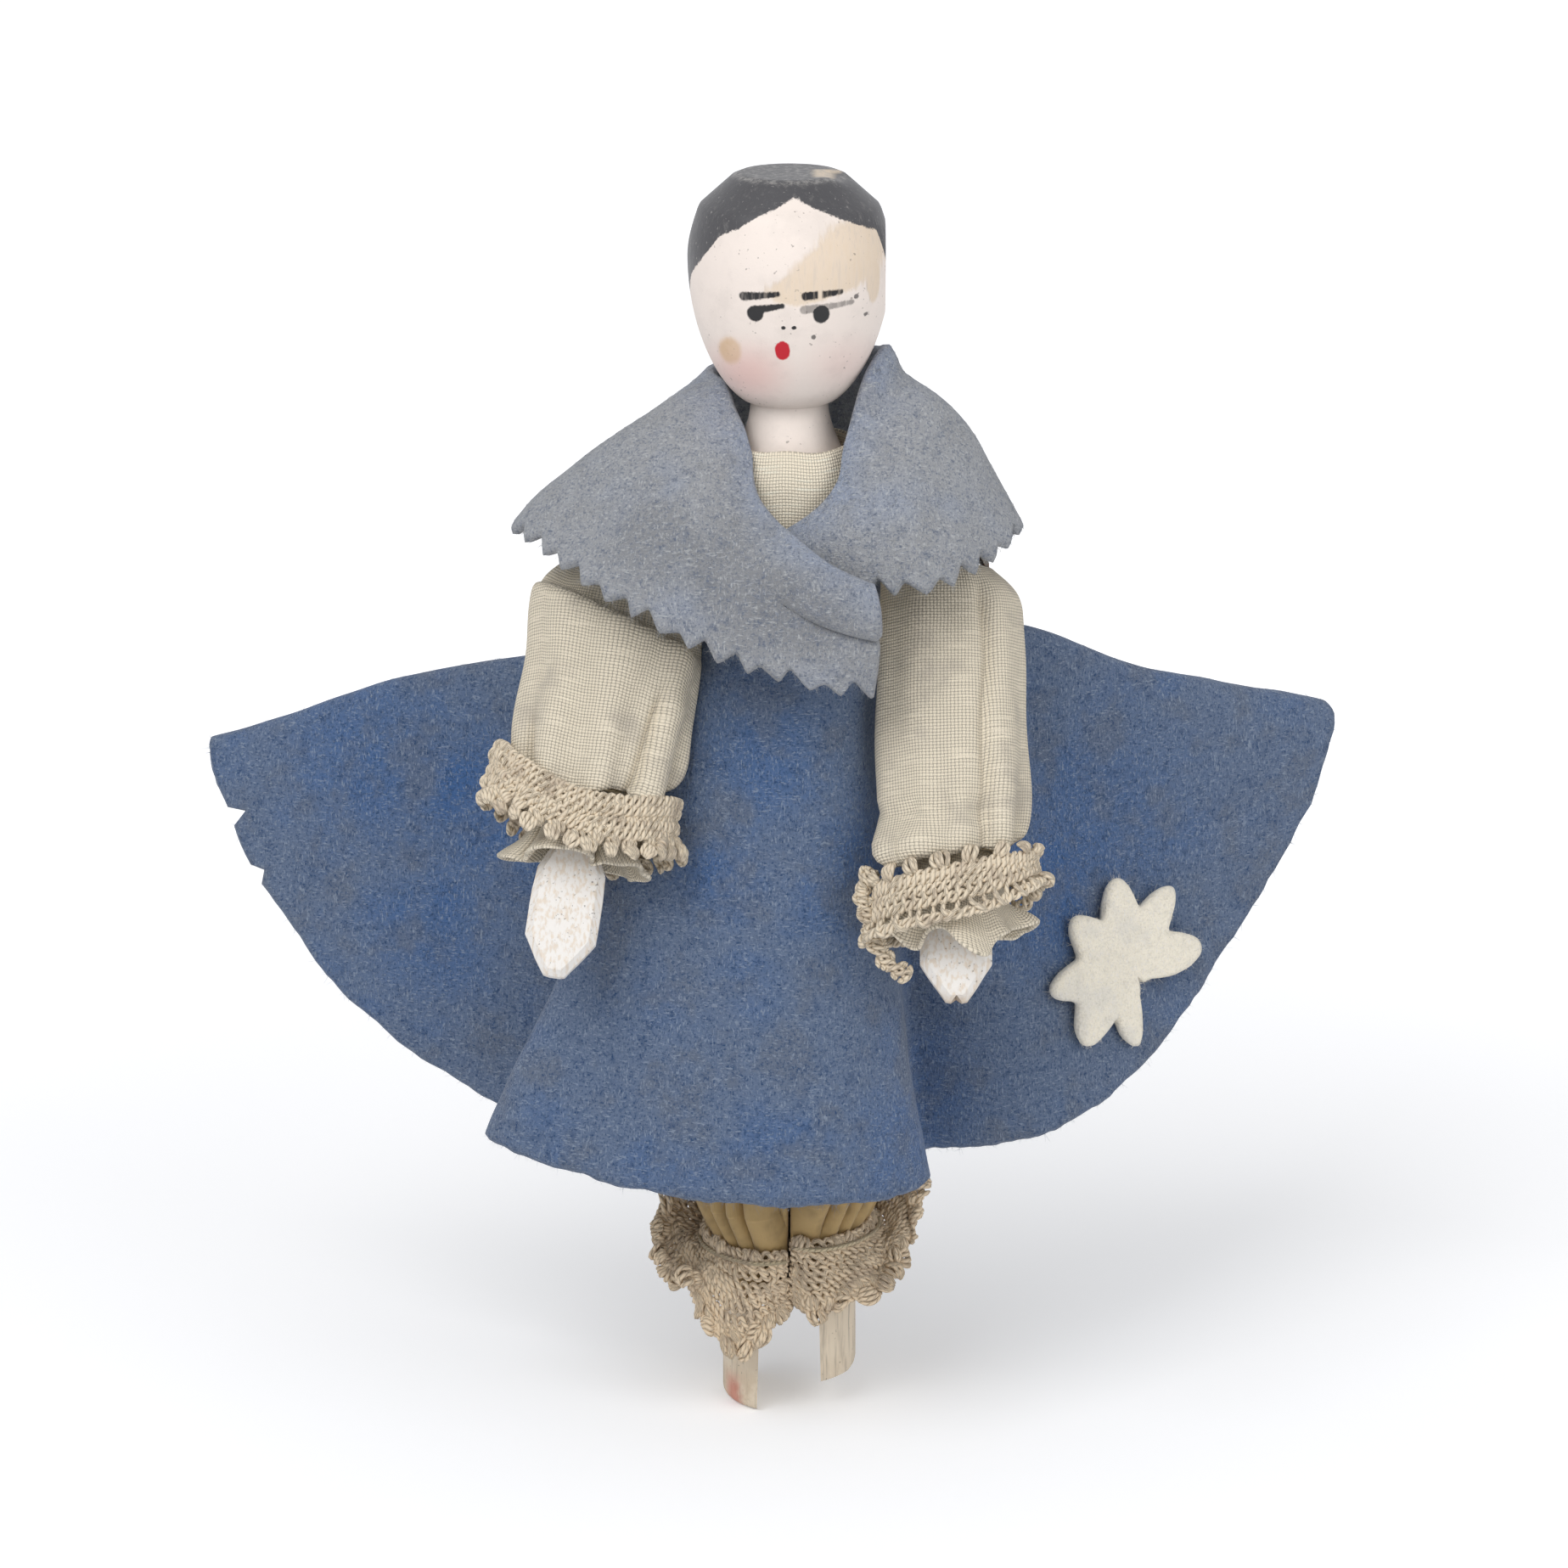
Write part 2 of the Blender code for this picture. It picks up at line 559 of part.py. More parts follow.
def make_bodice(root):
    """Muslin wound round the shaft, with a hole on each side for the shoulder wire."""
    top = PEG_LENGTH - BODICE_TOP_BELOW_CROWN
    bottom = PEG_LENGTH - BODICE_BOTTOM_BELOW_CROWN
    azimuth = np.linspace(0, 360, 20, endpoint=False)
    rows = []
    for height in np.linspace(top, bottom, 6):
        radius = max(peg_radius(height), peg_radius(height - 4 * MUSLIN)) + FIT_GAP + MUSLIN / 2
        x, y = polar(radius, azimuth)
        rows.append(np.stack([x, y, np.full_like(x, height)], axis=1))
    bodice = add_object("blouse_bodice", cloth_bmesh(np.array(rows), MUSLIN, closed=True),
                        material("muslin_bodice", MUSLIN_BEIGE, 0.9), root)
    bore = WIRE_RADIUS + WIRE_BORE_CLEARANCE
    reach = 2 * SHAFT_RADIUS
    ends = ((-reach, 0, SHOULDER_Z), (reach, 0, SHOULDER_Z))
    cut(bodice, add_object("bodice_bore_cutter", rod_bmesh(*ends, bore), None, root))


def skirt_point(fold, share):
    """A point of the felt circle: along the waist by folds, and down from waist to hem by share."""
    count = len(SKIRT_FOLDS)
    rows = []
    for waist, fall, drop in SKIRT_FOLDS:
        ax, ay = polar(1.0, waist)
        bx, by = polar(math.cos(math.radians(drop)), fall)
        rows.append((ax, ay, bx, by, -math.sin(math.radians(drop))))
    fine = spline(rows, 16 * count, closed=True)
    row = fine[int(round(fold * 16)) % (16 * count)]
    out = row[:2] / np.linalg.norm(row[:2])
    fall = row[2:] / np.linalg.norm(row[2:])
    waist = np.array([WAIST_RADIUS * out[0], WAIST_RADIUS * out[1], WAIST_Z])
    return waist + share * SKIRT_LENGTH * fall


def make_skirt(root):
    columns = SKIRT_COLUMNS_PER_FOLD * len(SKIRT_FOLDS)
    grid = np.array([[skirt_point(j / SKIRT_COLUMNS_PER_FOLD, i / SKIRT_ROWS) for j in range(columns)]
                     for i in range(SKIRT_ROWS + 1)])
    skirt = add_object("skirt", cloth_bmesh(grid, FELT, closed=True),
                       material("blue_felt", SKIRT_BLUE, 0.95), root)
    x, y = polar(WAIST_RADIUS, np.linspace(0, 360, 24, endpoint=False))
    ring = np.stack([x, y, np.full_like(x, WAIST_Z + FELT / 2 + FIT_GAP + THREAD_RADIUS)], axis=1)
    add_object("waist_thread", ring_bmesh(ring, THREAD_RADIUS),
               material("waist_thread", THREAD_BEIGE, 0.9), root)
    return skirt


# Shawl
def shawl_row(section, share):
    """A point down one section of the shawl, swelling outwards between neck edge and hem."""
    azimuth, neck_radius, neck_drop, hem_radius, hem_drop = section
    radius = neck_radius + (hem_radius - neck_radius) * share
    drop = neck_drop + (hem_drop - neck_drop) * share
    swell = SHAWL_SWELL * math.sin(math.pi * share)
    x, y = polar(radius + 0.7 * swell, azimuth)
    return np.array([x, y, PEG_LENGTH - drop + 0.7 * swell])


def make_shawl(root):
    fine = spline(SHAWL_SECTIONS, 400, closed=False)
    hem = np.array([shawl_row(section, 1.0) for section in fine])
    run = np.concatenate([[0], np.cumsum(np.linalg.norm(np.diff(hem, axis=0), axis=1))])
    teeth = int(run[-1] / PINK_PITCH)
    stops = np.linspace(0, run[-1], 2 * teeth + 1)
    sections = np.stack([np.interp(stops, run, fine[:, c]) for c in range(fine.shape[1])], axis=1)
    rows = [[shawl_row(section, i / SHAWL_ROWS) for section in sections] for i in range(SHAWL_ROWS + 1)]
    grid = np.array(rows)
    fall = grid[-1] - grid[-2]
    fall /= np.linalg.norm(fall, axis=1, keepdims=True)
    tooth = PINK_DEPTH * (np.arange(len(sections)) % 2)
    grid[-1] -= fall * tooth[:, None]
    add_object("shawl", cloth_bmesh(grid, SHAWL_FELT, closed=False),
               material("grey_felt", SHAWL_GREY, 0.95), root)


# Flower
def flower_outline():
    """Alternate petal rings and notches round a daisy, with one petal torn away to the notch circle."""
    points = []
    step = 2 * math.pi / FLOWER_PETALS
    shoulder = FLOWER_SHOULDER * FLOWER_RADIUS
    for petal in range(FLOWER_PETALS):
        middle = petal * step
        lost = petal == FLOWER_LOST_PETAL
        points.append((FLOWER_NOTCH_RADIUS, middle - step / 2))
        points.append((FLOWER_NOTCH_RADIUS if lost else shoulder, middle - FLOWER_PETAL_HALF * step))
        points.append((0.9 * FLOWER_NOTCH_RADIUS if lost else FLOWER_RADIUS, middle))
        points.append((FLOWER_NOTCH_RADIUS if lost else shoulder, middle + FLOWER_PETAL_HALF * step))
    return [(r * math.cos(a), r * math.sin(a)) for r, a in points]


def make_flower(skirt, root):
    """A felt daisy laid on the outside of the skirt's left wing, following its surface."""
    middle = skirt_point(FLOWER_FOLD, FLOWER_ALONG_SKIRT)
    along = skirt_point(FLOWER_FOLD, FLOWER_ALONG_SKIRT + 0.1) - middle
    beside = skirt_point(FLOWER_FOLD + 0.25, FLOWER_ALONG_SKIRT) - middle
    along /= np.linalg.norm(along)
    out = np.cross(along, beside)
    out /= np.linalg.norm(out)
    beside = np.cross(out, along)
    if out[1] > 0:
        out = -out
    tree = BVHTree.FromPolygons([v.co / MM for v in skirt.data.vertices],
                                [p.vertices for p in skirt.data.polygons])
    shares = (0.35, 0.7, 1.0)
    flat = np.concatenate([np.zeros((1, 2))] + [share * np.array(flower_outline()) for share in shares])
    bm = bmesh.new()
    layers = []
    for lift in (FLOWER_LIFT, FLOWER_LIFT + FLOWER_FELT):
        layer = []
        for u, v in flat:
            start = Vector(middle + u * beside + v * along + 1.7 * FLOWER_RADIUS * out)
            hit = tree.ray_cast(start, Vector(-out))[0]
            layer.append(bm.verts.new(hit + Vector(out) * lift))
        layers.append(layer)
    count = len(flower_outline())
    low, high = layers
    for j in range(count):
        k = (j + 1) % count
        for layer in layers:
            bm.faces.new((layer[0], layer[1 + j], layer[1 + k]))
            for ring in range(1, len(shares)):
                inner = 1 + (ring - 1) * count
                outer = inner + count
                bm.faces.new((layer[inner + j], layer[outer + j], layer[outer + k], layer[inner + k]))
        bm.faces.new((low[outer + j], high[outer + j], high[outer + k], low[outer + k]))
    add_object("felt_flower", bm, material("ivory_felt", IVORY, 0.95), root)


# Pantalettes and ankle lace
def leg_ring(side, height, seat, fullness=0.0, flare=0.0, wave=0.0, rise=0.0):
    """A ring round one prong: an arc outside, pleated, waved or turned up, and a straight run in the slot."""
    inside = slot_half_width(height) - seat
    radius = SHAFT_RADIUS + seat
    half_angle = math.acos(inside / radius)
    arc = np.linspace(-half_angle, half_angle, 4 * LEG_PLEATS + 1)
    ends = np.cos(np.linspace(-math.pi / 2, math.pi / 2, len(arc)))
    swell = ends * (flare + fullness * (1 - np.cos(2 * math.pi * LEG_PLEATS * np.linspace(0, 1, len(arc)))) / 2)
    swell += ends * wave * np.cos(2 * math.pi * ANKLE_LACE_WAVES * np.linspace(0, 1, len(arc)))
    x = (radius + swell) * np.cos(arc)
    y = (radius + swell) * np.sin(arc)
    run = np.linspace(1, -1, 8)[1:-1] * radius * math.sin(half_angle)
    z = np.concatenate([height + rise * ends ** 2, np.full(len(run), height)])
    x = np.concatenate([x, np.full(len(run), inside)])
    y = np.concatenate([y, run])
    return np.stack([side * x, side * y, z], axis=1)


def make_leg(name, side, lace, root):
    """A sateen leg on one prong, gathered by a thread over the top of its lace frill, which turns up outside."""
    lace_top, lace_hem = lace
    seat = FIT_GAP + SATEEN / 2
    ankle = lace_top + FRILL_TIED_SHARE * (lace_hem - lace_top)
    heights = (LEG_TOP, 0.6 * LEG_TOP + 0.4 * ankle, 0.2 * LEG_TOP + 0.8 * ankle, lace_top + LEG_GATHER,
               ankle, LEG_HEM)
    full = (0.3, 1.0, 1.0, 0.4, 0.0, 0.0)
    grid = [leg_ring(side, z, seat, LEG_FULLNESS * f) for z, f in zip(heights, full)]
    add_object(name + "_pantalette_leg", cloth_bmesh(np.array(grid), SATEEN, closed=True),
               material("sateen_" + name, SATEEN_TAN, 0.7), root)
    seat += SATEEN / 2 + FIT_GAP + ANKLE_LACE / 2
    frill = []
    for share in (0.0, FRILL_TIED_SHARE, 0.35, 0.65, 1.0):
        open_out = max(0.0, (share - FRILL_TIED_SHARE) / (1 - FRILL_TIED_SHARE)) ** 0.7
        height = lace_top + share * (lace_hem - lace_top)
        flare = ANKLE_LACE_FLARE * open_out
        wave = ANKLE_LACE_WAVE * open_out
        frill.append(leg_ring(side, height, seat, 0, flare, wave, ANKLE_LACE_RISE * open_out ** 2))
    add_object(name + "_ankle_lace", cloth_bmesh(np.array(frill), ANKLE_LACE, closed=True),
               material("ankle_lace_" + name, LACE_BEIGE, 0.9), root)
    seat += ANKLE_LACE / 2 + FIT_GAP + ANKLE_THREAD_RADIUS
    tie = 0.5 * (lace_top + ankle)
    add_object(name + "_ankle_thread", ring_bmesh(leg_ring(side, tie, seat), ANKLE_THREAD_RADIUS),
               material("ankle_thread_" + name, THREAD_BEIGE, 0.9), root)


# Assembly
def centre_on_floor(root):
    """Shift the whole doll so that its box stands centred on the origin."""
    bpy.context.view_layer.update()
    corners = []
    for obj in bpy.data.objects:
        if obj.type in {"MESH", "CURVE"} and not obj.hide_render:
            corners += [obj.matrix_world @ Vector(corner) for corner in obj.bound_box]
    low = [min(c[axis] for c in corners) for axis in range(3)]
    high = [max(c[axis] for c in corners) for axis in range(3)]
    root.location = (-(low[0] + high[0]) / 2, -(low[1] + high[1]) / 2, -low[2])


def main():
    clear_scene()
    root = add_empty("doll")
    make_peg(root)
    make_wire(root)
    make_arm(Arm("right", -1, RIGHT_ARM_LENGTH, RIGHT_ARM_SPREAD, RIGHT_WRIST, RIGHT_PUFF,
                 RIGHT_LACE_RISE, RIGHT_LACE_TAIL), root)
    make_arm(Arm("left", 1, LEFT_ARM_LENGTH, LEFT_ARM_SPREAD, LEFT_WRIST, LEFT_PUFF,
                 LEFT_LACE_RISE, LEFT_LACE_TAIL), root)
    make_bodice(root)
    skirt = make_skirt(root)
    make_shawl(root)
    make_flower(skirt, root)
    make_leg("right", -1, RIGHT_ANKLE_LACE, root)
    make_leg("left", 1, LEFT_ANKLE_LACE, root)
    centre_on_floor(root)


main()
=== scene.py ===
# Peg doll: a turned clothes peg dressed in felt, muslin and crochet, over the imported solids.
# Shapes are worked out in millimetres about the foot of the peg; the doll faces -Y, its right side is at -X.
import json
import math
from types import SimpleNamespace

import bmesh
import bpy
import numpy as np
from bpy.props import FloatProperty, FloatVectorProperty, IntProperty, PointerProperty
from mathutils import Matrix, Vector
from mathutils.bvhtree import BVHTree


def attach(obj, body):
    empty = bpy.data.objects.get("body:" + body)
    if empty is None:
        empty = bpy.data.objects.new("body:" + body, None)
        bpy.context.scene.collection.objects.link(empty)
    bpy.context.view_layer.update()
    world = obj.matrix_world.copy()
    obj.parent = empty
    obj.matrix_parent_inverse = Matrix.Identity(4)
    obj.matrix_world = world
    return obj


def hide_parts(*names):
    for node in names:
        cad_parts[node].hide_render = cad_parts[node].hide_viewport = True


bl_info = {
    "name": "Peg Doll",
    "version": (1, 0, 0),
    "blender": (4, 5, 0),
    "location": "View3D > Sidebar > Peg Doll",
    "description": "Dresses a turned clothes peg as a doll in felt, muslin and crochet",
    "category": "Add Mesh",
}

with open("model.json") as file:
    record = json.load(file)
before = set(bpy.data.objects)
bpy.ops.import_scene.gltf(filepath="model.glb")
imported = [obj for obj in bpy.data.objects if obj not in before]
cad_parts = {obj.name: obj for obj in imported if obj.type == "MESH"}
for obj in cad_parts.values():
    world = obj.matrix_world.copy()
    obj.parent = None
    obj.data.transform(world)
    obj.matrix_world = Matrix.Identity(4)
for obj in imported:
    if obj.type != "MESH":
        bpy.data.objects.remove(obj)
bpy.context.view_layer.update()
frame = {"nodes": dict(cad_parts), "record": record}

MM = 0.001
CROWN = next(mount for mount in frame["record"]["mounts"] if mount["name"] == "crown")["pos_m"]
STANDING = np.array([CROWN[0], CROWN[1], 0.0])

# Share of their thickness in the solids that muslin and sateen have here.
THIN = 0.7

# Skirt folds: azimuth on the waist, azimuth of the fall, fall below the horizontal, in degrees.
# Azimuth 0 is the front and grows towards the doll's left.
SKIRT_FOLDS = [
    (-62, -72, 65),
    (-40, -42, 75),
    (-18, -19, 77),
    (10, 12, 77),
    (35, 49, 79),
    (66, 116, 84),
    (76, 89, 69),
    (86, 113, 43),
    (98, 115, 15),
    (112, 134, 45),
    (127, 142, 75),
    (152, 152, 62),
    (180, 180, 70),
    (208, 208, 62),
    (233, 220, 75),
    (249, 237, 45),
    (263, 255, 17),
    (274, 259, 45),
    (286, 264, 72),
]

# Nicks in the hem: fold of the skirt, depth and half width.
NICKS = [
    (16.417, 1.4, 0.02),
    (16.59, 0.9, 0.012),
]

# Arched upper edges of the wings: fold, share of the way down and its spread, and lift.
WING_EDGES = [
    (8.0, 0.3, 0.18, 2.0),
    (15.95, 0.62, 0.3, 1.6),
]
# Fold at the tip of the left wing, which is rounded off.
LEFT_TIP = 8.0

# Places where the blue felt has not faded: distance from the middle, height and reach.
UNFADED = [
    (26, 50, 11),
    (21, 44, 7),
    (11, 28, 7),
    (-36, 56, 10),
    (-26, 52, 9),
    (-31, 41, 8),
    (-6, 50, 5),
    (7, 52, 6),
    (-2, 60, 7),
]

# Patches of painted shade on the front of the shawl: distance from the middle, height and reach.
SHAWL_SHADE = [
    (-11.5, 79.0, 5.0),
    (-5.6, 76.0, 6.5),
    (1.5, 74.0, 5.5),
]

# Shawl sections: azimuth, radius and height below the crown of the neck edge, then of the hem.
SHAWL_SECTIONS = [
    (-20, 7.9, 30.0, 9.4, 37.0),
    (0, 7.9, 28.6, 10.2, 35.0),
    (18, 7.9, 26.9, 12.0, 33.7),
    (32, 7.8, 24.7, 14.3, 32.8),
    (44, 6.9, 21.8, 17.4, 32.3),
    (66, 6.9, 17.3, 18.4, 31.0),
    (86, 7.9, 14.9, 19.3, 29.9),
    (115, 8.4, 15.6, 17.5, 34.5),
    (150, 8.6, 16.5, 16.6, 40.5),
    (180, 8.3, 17.0, 16.0, 43.0),
    (245, 7.5, 17.6, 18.6, 34.5),
    (274, 7.0, 18.3, 23.0, 29.9),
    (292, 6.9, 19.4, 21.4, 30.6),
    (317, 7.2, 21.4, 19.2, 33.9),
    (338, 8.6, 25.0, 16.2, 37.6),
    (356, 10.8, 27.6, 14.8, 39.3),
    (372, 13.2, 30.4, 15.1, 40.4),
    (386, 15.5, 32.1, 15.3, 41.0),
]

# Hairline: azimuth round the head in degrees and height below the crown.
HAIRLINE = [
    (-180, 15.5),
    (-120, 13.5),
    (-90, 10.8),
    (-75, 8.3),
    (-56, 6.1),
    (-44, 4.1),
    (-33, 3.6),
    (-20, 2.5),
    (3, 1.1),
    (31, 2.6),
    (46, 3.5),
    (63, 4.1),
    (69, 6.5),
    (80, 10.5),
    (120, 13.5),
    (180, 15.5),
]


# Settings
def length(label, millimetres, note):
    return FloatProperty(name=label, description=note, default=millimetres * MM, unit="LENGTH", precision=5)


def turn(label, degrees, note):
    return FloatProperty(name=label, description=note, default=math.radians(degrees), unit="ROTATION")


def share(label, value, note):
    return FloatProperty(name=label, description=note, default=value, subtype="FACTOR", min=0, max=1)


def count(label, value, note):
    return IntProperty(name=label, description=note, default=value, min=1)


def dye(label, red, green, blue, note):
    """A colour given as screen values from 0 to 255 and kept as light values."""
    screen = [channel / 255 for channel in (red, green, blue)]
    light = [c / 12.92 if c <= 0.04045 else ((c + 0.055) / 1.055) ** 2.4 for c in screen]
    return FloatVectorProperty(name=label, description=note, default=light, size=3, subtype="COLOR", min=0, max=1)


class PegSizes(bpy.types.PropertyGroup):
    """The turned peg."""

    peg_length: length("Peg", 107.5, "Whole length of the peg")
    crown_radius: length("Crown", 4.5, "Radius of the flat top of the head")
    crown_slope: length("Crown slope", 2.7, "Height of the cone below the flat top")
    brow_radius: length("Brow", 7.5, "Radius at the foot of the cone")
    head_radius: length("Head", 8.45, "Largest radius of the head")
    head_widest: length("Widest", 7.1, "Depth of the largest radius below the crown")
    head_height: length("Head height", 19.3, "Crown to neck")
    worn_flat: length("Worn flat", 7.95, "Distance of the worn flat from the axis")
    neck_radius: length("Neck", 3.25, "Least radius of the neck")
    neck_flare: length("Neck flare", 8.5, "Height over which the neck widens to the shaft")
    shaft_radius: length("Shaft", 5.75, "Radius of the shaft")
    slot_height: length("Slot", 50.0, "Height of the slot between the prongs")
    slot_top: length("Slot top", 3.0, "Width of the slot at its top")
    slot_foot: length("Slot foot", 5.6, "Width of the slot at the feet")
    short_prong: length("Short prong", 3.0, "What the worn left prong has lost")
    foot_round: length("Foot edge", 0.9, "Rounding of the foot")


class ArmSizes(bpy.types.PropertyGroup):
    """Arms, sleeves and cuff lace."""

    shoulder_drop: length("Shoulder drop", 32.5, "Shoulder wire below the crown")
    shoulder_reach: length("Shoulder reach", 13.8, "Pivot of each arm from the axis")
    lean: turn("Lean", 28.0, "How far the arms lean forwards")
    right_spread: turn("Right spread", 9.0, "How far the right arm is spread")
    left_spread: turn("Left spread", 0.0, "How far the left arm is spread")
    right_length: length("Right arm", 36.5, "Pivot to fingertip")
    left_length: length("Left arm", 38.2, "Pivot to fingertip")
    right_wrist: length("Right wrist", 20.5, "Pivot to wrist thread")
    left_wrist: length("Left wrist", 25.5, "Pivot to wrist thread")
    stick_half: length("Stick", 1.9, "Half width of the arm stick")
    stick_thick: length("Stick thickness", 1.9, "Thickness of the arm stick")
    stick_head: length("Stick head", 1.7, "Stick above the wire")
    hand_half: length("Hand", 3.0, "Half width of the hand")
    hand_length: length("Hand length", 9.0, "Length of the hand")
    hand_tip: length("Hand tip", 3.2, "Length of the pointed tip")
    hand_tip_half: length("Tip", 0.9, "Half width of the fingertip")
    muslin: length("Muslin", 0.5, "Thickness of the gathered muslin")
    right_sleeve_top: length("Right sleeve top", 0.6, "Pivot to the top of the sleeve")
    left_sleeve_top: length("Left sleeve top", 1.6, "Pivot to the top of the sleeve")
    sleeve_top_in: length("Sleeve top in", 6.0, "Half width at the top towards the body")
    sleeve_top_out: length("Sleeve top out", 4.4, "Half width at the top away from the body")
    sleeve_top_front: length("Sleeve top front", 3.0, "Depth to the front at the top")
    right_puff_in: length("Right puff in", 7.5, "Half width of the puff towards the body")
    right_puff_out: length("Right puff out", 6.9, "Half width of the puff away from the body")
    left_puff_in: length("Left puff in", 6.5, "Half width of the puff towards the body")
    left_puff_out: length("Left puff out", 5.8, "Half width of the puff away from the body")
    puff_front: length("Puff front", 4.6, "Depth of the puff to the front")
    puff_back: length("Puff back", 2.3, "Depth of the puff to the back")
    wrist_half: length("Wrist", 3.5, "Half width at the wrist thread")
    wrist_depth: length("Wrist depth", 2.05, "Half depth at the wrist thread")
    wrist_gather: length("Gather", 3.0, "Height of the gathers above the thread")
    wrist_flat: length("Tied band", 0.8, "Half height of the tied band")
    wrist_flare: length("Wrist flare", 0.3, "Widening below the thread")
    ruffle_length: length("Ruffle", 7.2, "Wrist thread to sleeve hem")
    ruffle_half: length("Ruffle width", 6.0, "Half width of the sleeve hem")
    ruffle_front: length("Ruffle front", 4.0, "Depth of the sleeve hem to the front")
    thread_radius: length("Thread", 0.25, "Radius of a tie thread")
    fit_gap: length("Fit gap", 0.3, "Clearance between layers")
    lace: length("Lace", 0.8, "Thickness of the cuff lace")
    lace_width: length("Lace width", 5.0, "Width of the cuff lace")
    lace_ease: length("Lace ease", 0.4, "Looseness of the cuff lace")
    right_lace_flare: length("Right lace flare", 2.3, "Extra half width of the cuff lace")
    left_lace_flare: length("Left lace flare", 1.4, "Extra half width of the cuff lace")
    lace_front: length("Lace front", 0.9, "Extra depth of the cuff lace to the front")
    lace_scallop: length("Scallop", 0.5, "Scallops on the lace edges")
    right_lace_bow: length("Right lace bow", 2.6, "How far both ends of the lace are pushed up")
    right_lace_slant: length("Right lace slant", -1.3, "How far the inner end of the lace hangs lower")
    left_lace_bow: length("Left lace bow", 0.3, "How far both ends of the lace are pushed up")
    left_lace_slant: length("Left lace slant", 1.4, "How far the inner end of the lace hangs lower")
    left_lace_drop: length("Left lace drop", 0.7, "How far the whole left lace has slipped down")
    left_lace_narrow: length("Left lace narrowing", 2.2, "How much narrower the left lace is at its outer end")
    pleats: count("Pleats", 9, "Pleats round each sleeve")


class DressSizes(bpy.types.PropertyGroup):
    """Felt, muslin and sateen."""

    bodice_top: length("Bodice top", 22.6, "Top of the bodice below the crown")
    bodice_bottom: length("Bodice bottom", 49.0, "Bottom of the bodice below the crown")
    felt: length("Felt", 1.0, "Thickness of the felt")
    waist_drop: length("Waist", 39.0, "Waist below the crown")
    skirt_length: length("Skirt", 46.0, "Waist to hem along the felt")
    shawl_swell: length("Swell", 1.3, "How far the shawl swells between its edges")
    shawl_roll: length("Roll", 1.25, "Thickness of the rolled edge where the shawl crosses")
    pink_pitch: length("Pinking pitch", 2.6, "Step of the pinked teeth")
    pink_depth: length("Pinking depth", 1.2, "Depth of the pinked teeth")
    flower_lift: length("Flower lift", 0.45, "Flower above the skirt")
    flower_along: share("Flower place", 0.82, "How far down the skirt the flower lies")
    flower_fold: FloatProperty(name="Flower fold", description="Fold of the skirt that carries it", default=6.56)
    sateen: length("Sateen", 0.4, "Thickness of the pantalettes")
    leg_top: length("Leg top", 44.0, "Top of the pantalettes above the feet")
    leg_hem: length("Leg hem", 10.5, "Hem of the pantalettes above the feet")
    leg_fullness: length("Fullness", 1.1, "Depth of the gathers in the legs")
    leg_gather: length("Leg gather", 1.5, "Height of the gathers above the frill")
    leg_pleats: count("Leg pleats", 9, "Gathers round each leg")
    frill: length("Frill", 0.5, "Thickness of the ankle lace")
    right_frill_top: length("Right frill top", 15.0, "Top of the ankle lace above the feet")
    right_frill_hem: length("Right frill hem", 6.6, "Hem of the ankle lace above the feet")
    left_frill_top: length("Left frill top", 16.2, "Top of the ankle lace above the feet")
    left_frill_hem: length("Left frill hem", 9.2, "Hem of the ankle lace above the feet")
    frill_flare: length("Frill flare", 6.6, "How far the ankle lace stands out")
    frill_rise: length("Frill rise", 11.5, "How far the ankle lace turns up outside")
    frill_wave: length("Frill wave", 1.1, "Depth of the waves in the ankle lace")
    frill_tied: share("Tied share", 0.14, "Share of the ankle lace above its thread")
    frill_waves: count("Frill waves", 4, "Waves round each frill")
    ankle_thread: length("Ankle thread", 0.2, "Radius of the ankle thread")


class DollColours(bpy.types.PropertyGroup):
    """Paints, dyes and dirt."""

    cream: dye("Cream paint", 240, 228, 219, "Paint of the face")
    worn_wood: dye("Worn wood", 226, 205, 178, "Bare wood where the paint is worn")
    hair: dye("Hair", 68, 67, 70, "Charcoal paint of the hair")
    scuff: dye("Scuff", 142, 139, 136, "Scuffs on the hair")
    ink: dye("Ink", 28, 27, 29, "Brows and eyes")
    mouth: dye("Mouth", 196, 22, 40, "Mouth paint")
    blush: dye("Blush", 232, 160, 152, "Cheeks")
    foot: dye("Foot", 224, 209, 186, "Dirty paint of the prongs")
    foot_red: dye("Foot stain", 196, 105, 88, "Red stain on the long prong")
    hand: dye("Hand paint", 235, 231, 226, "White paint of the hands")
    hand_tip: dye("Hand tip", 176, 148, 112, "Bare wood at the fingertips")
    # Dirt specks, and also the painted shade under the chin.
    grime: dye("Grime", 88, 76, 66, "Dirt in the hollows")
    wire: dye("Wire", 96, 92, 88, "Dull wire")
    rust: dye("Rust", 116, 74, 48, "Rust on the wire")
    skirt_grey: dye("Skirt", 94, 110, 136, "Faded blue felt")
    skirt_blue: dye("Skirt blue", 60, 95, 144, "Unfaded blue felt")
    skirt_fibre: dye("Skirt fibre", 146, 158, 174, "Pale fibres in the blue felt")
    shawl_grey: dye("Shawl", 152, 154, 158, "Faded grey felt")
    shawl_blue: dye("Shawl blue", 140, 151, 172, "Bluer grey felt in the folds")
    shawl_fibre: dye("Shawl fibre", 192, 194, 196, "Pale fibres in the grey felt")
    ivory: dye("Flower", 248, 240, 222, "Ivory felt")
    muslin: dye("Muslin", 234, 223, 202, "Beige muslin")
    muslin_stain: dye("Muslin stain", 170, 162, 152, "Grey stains on the muslin")
    cotton: dye("Crochet cotton", 232, 217, 193, "Crochet yarn")
    cotton_dirt: dye("Crochet dirt", 168, 150, 132, "Dirt in the crochet")
    sateen: dye("Sateen", 180, 152, 103, "Tan sateen")
    thread: dye("Thread", 206, 190, 158, "Tie threads")


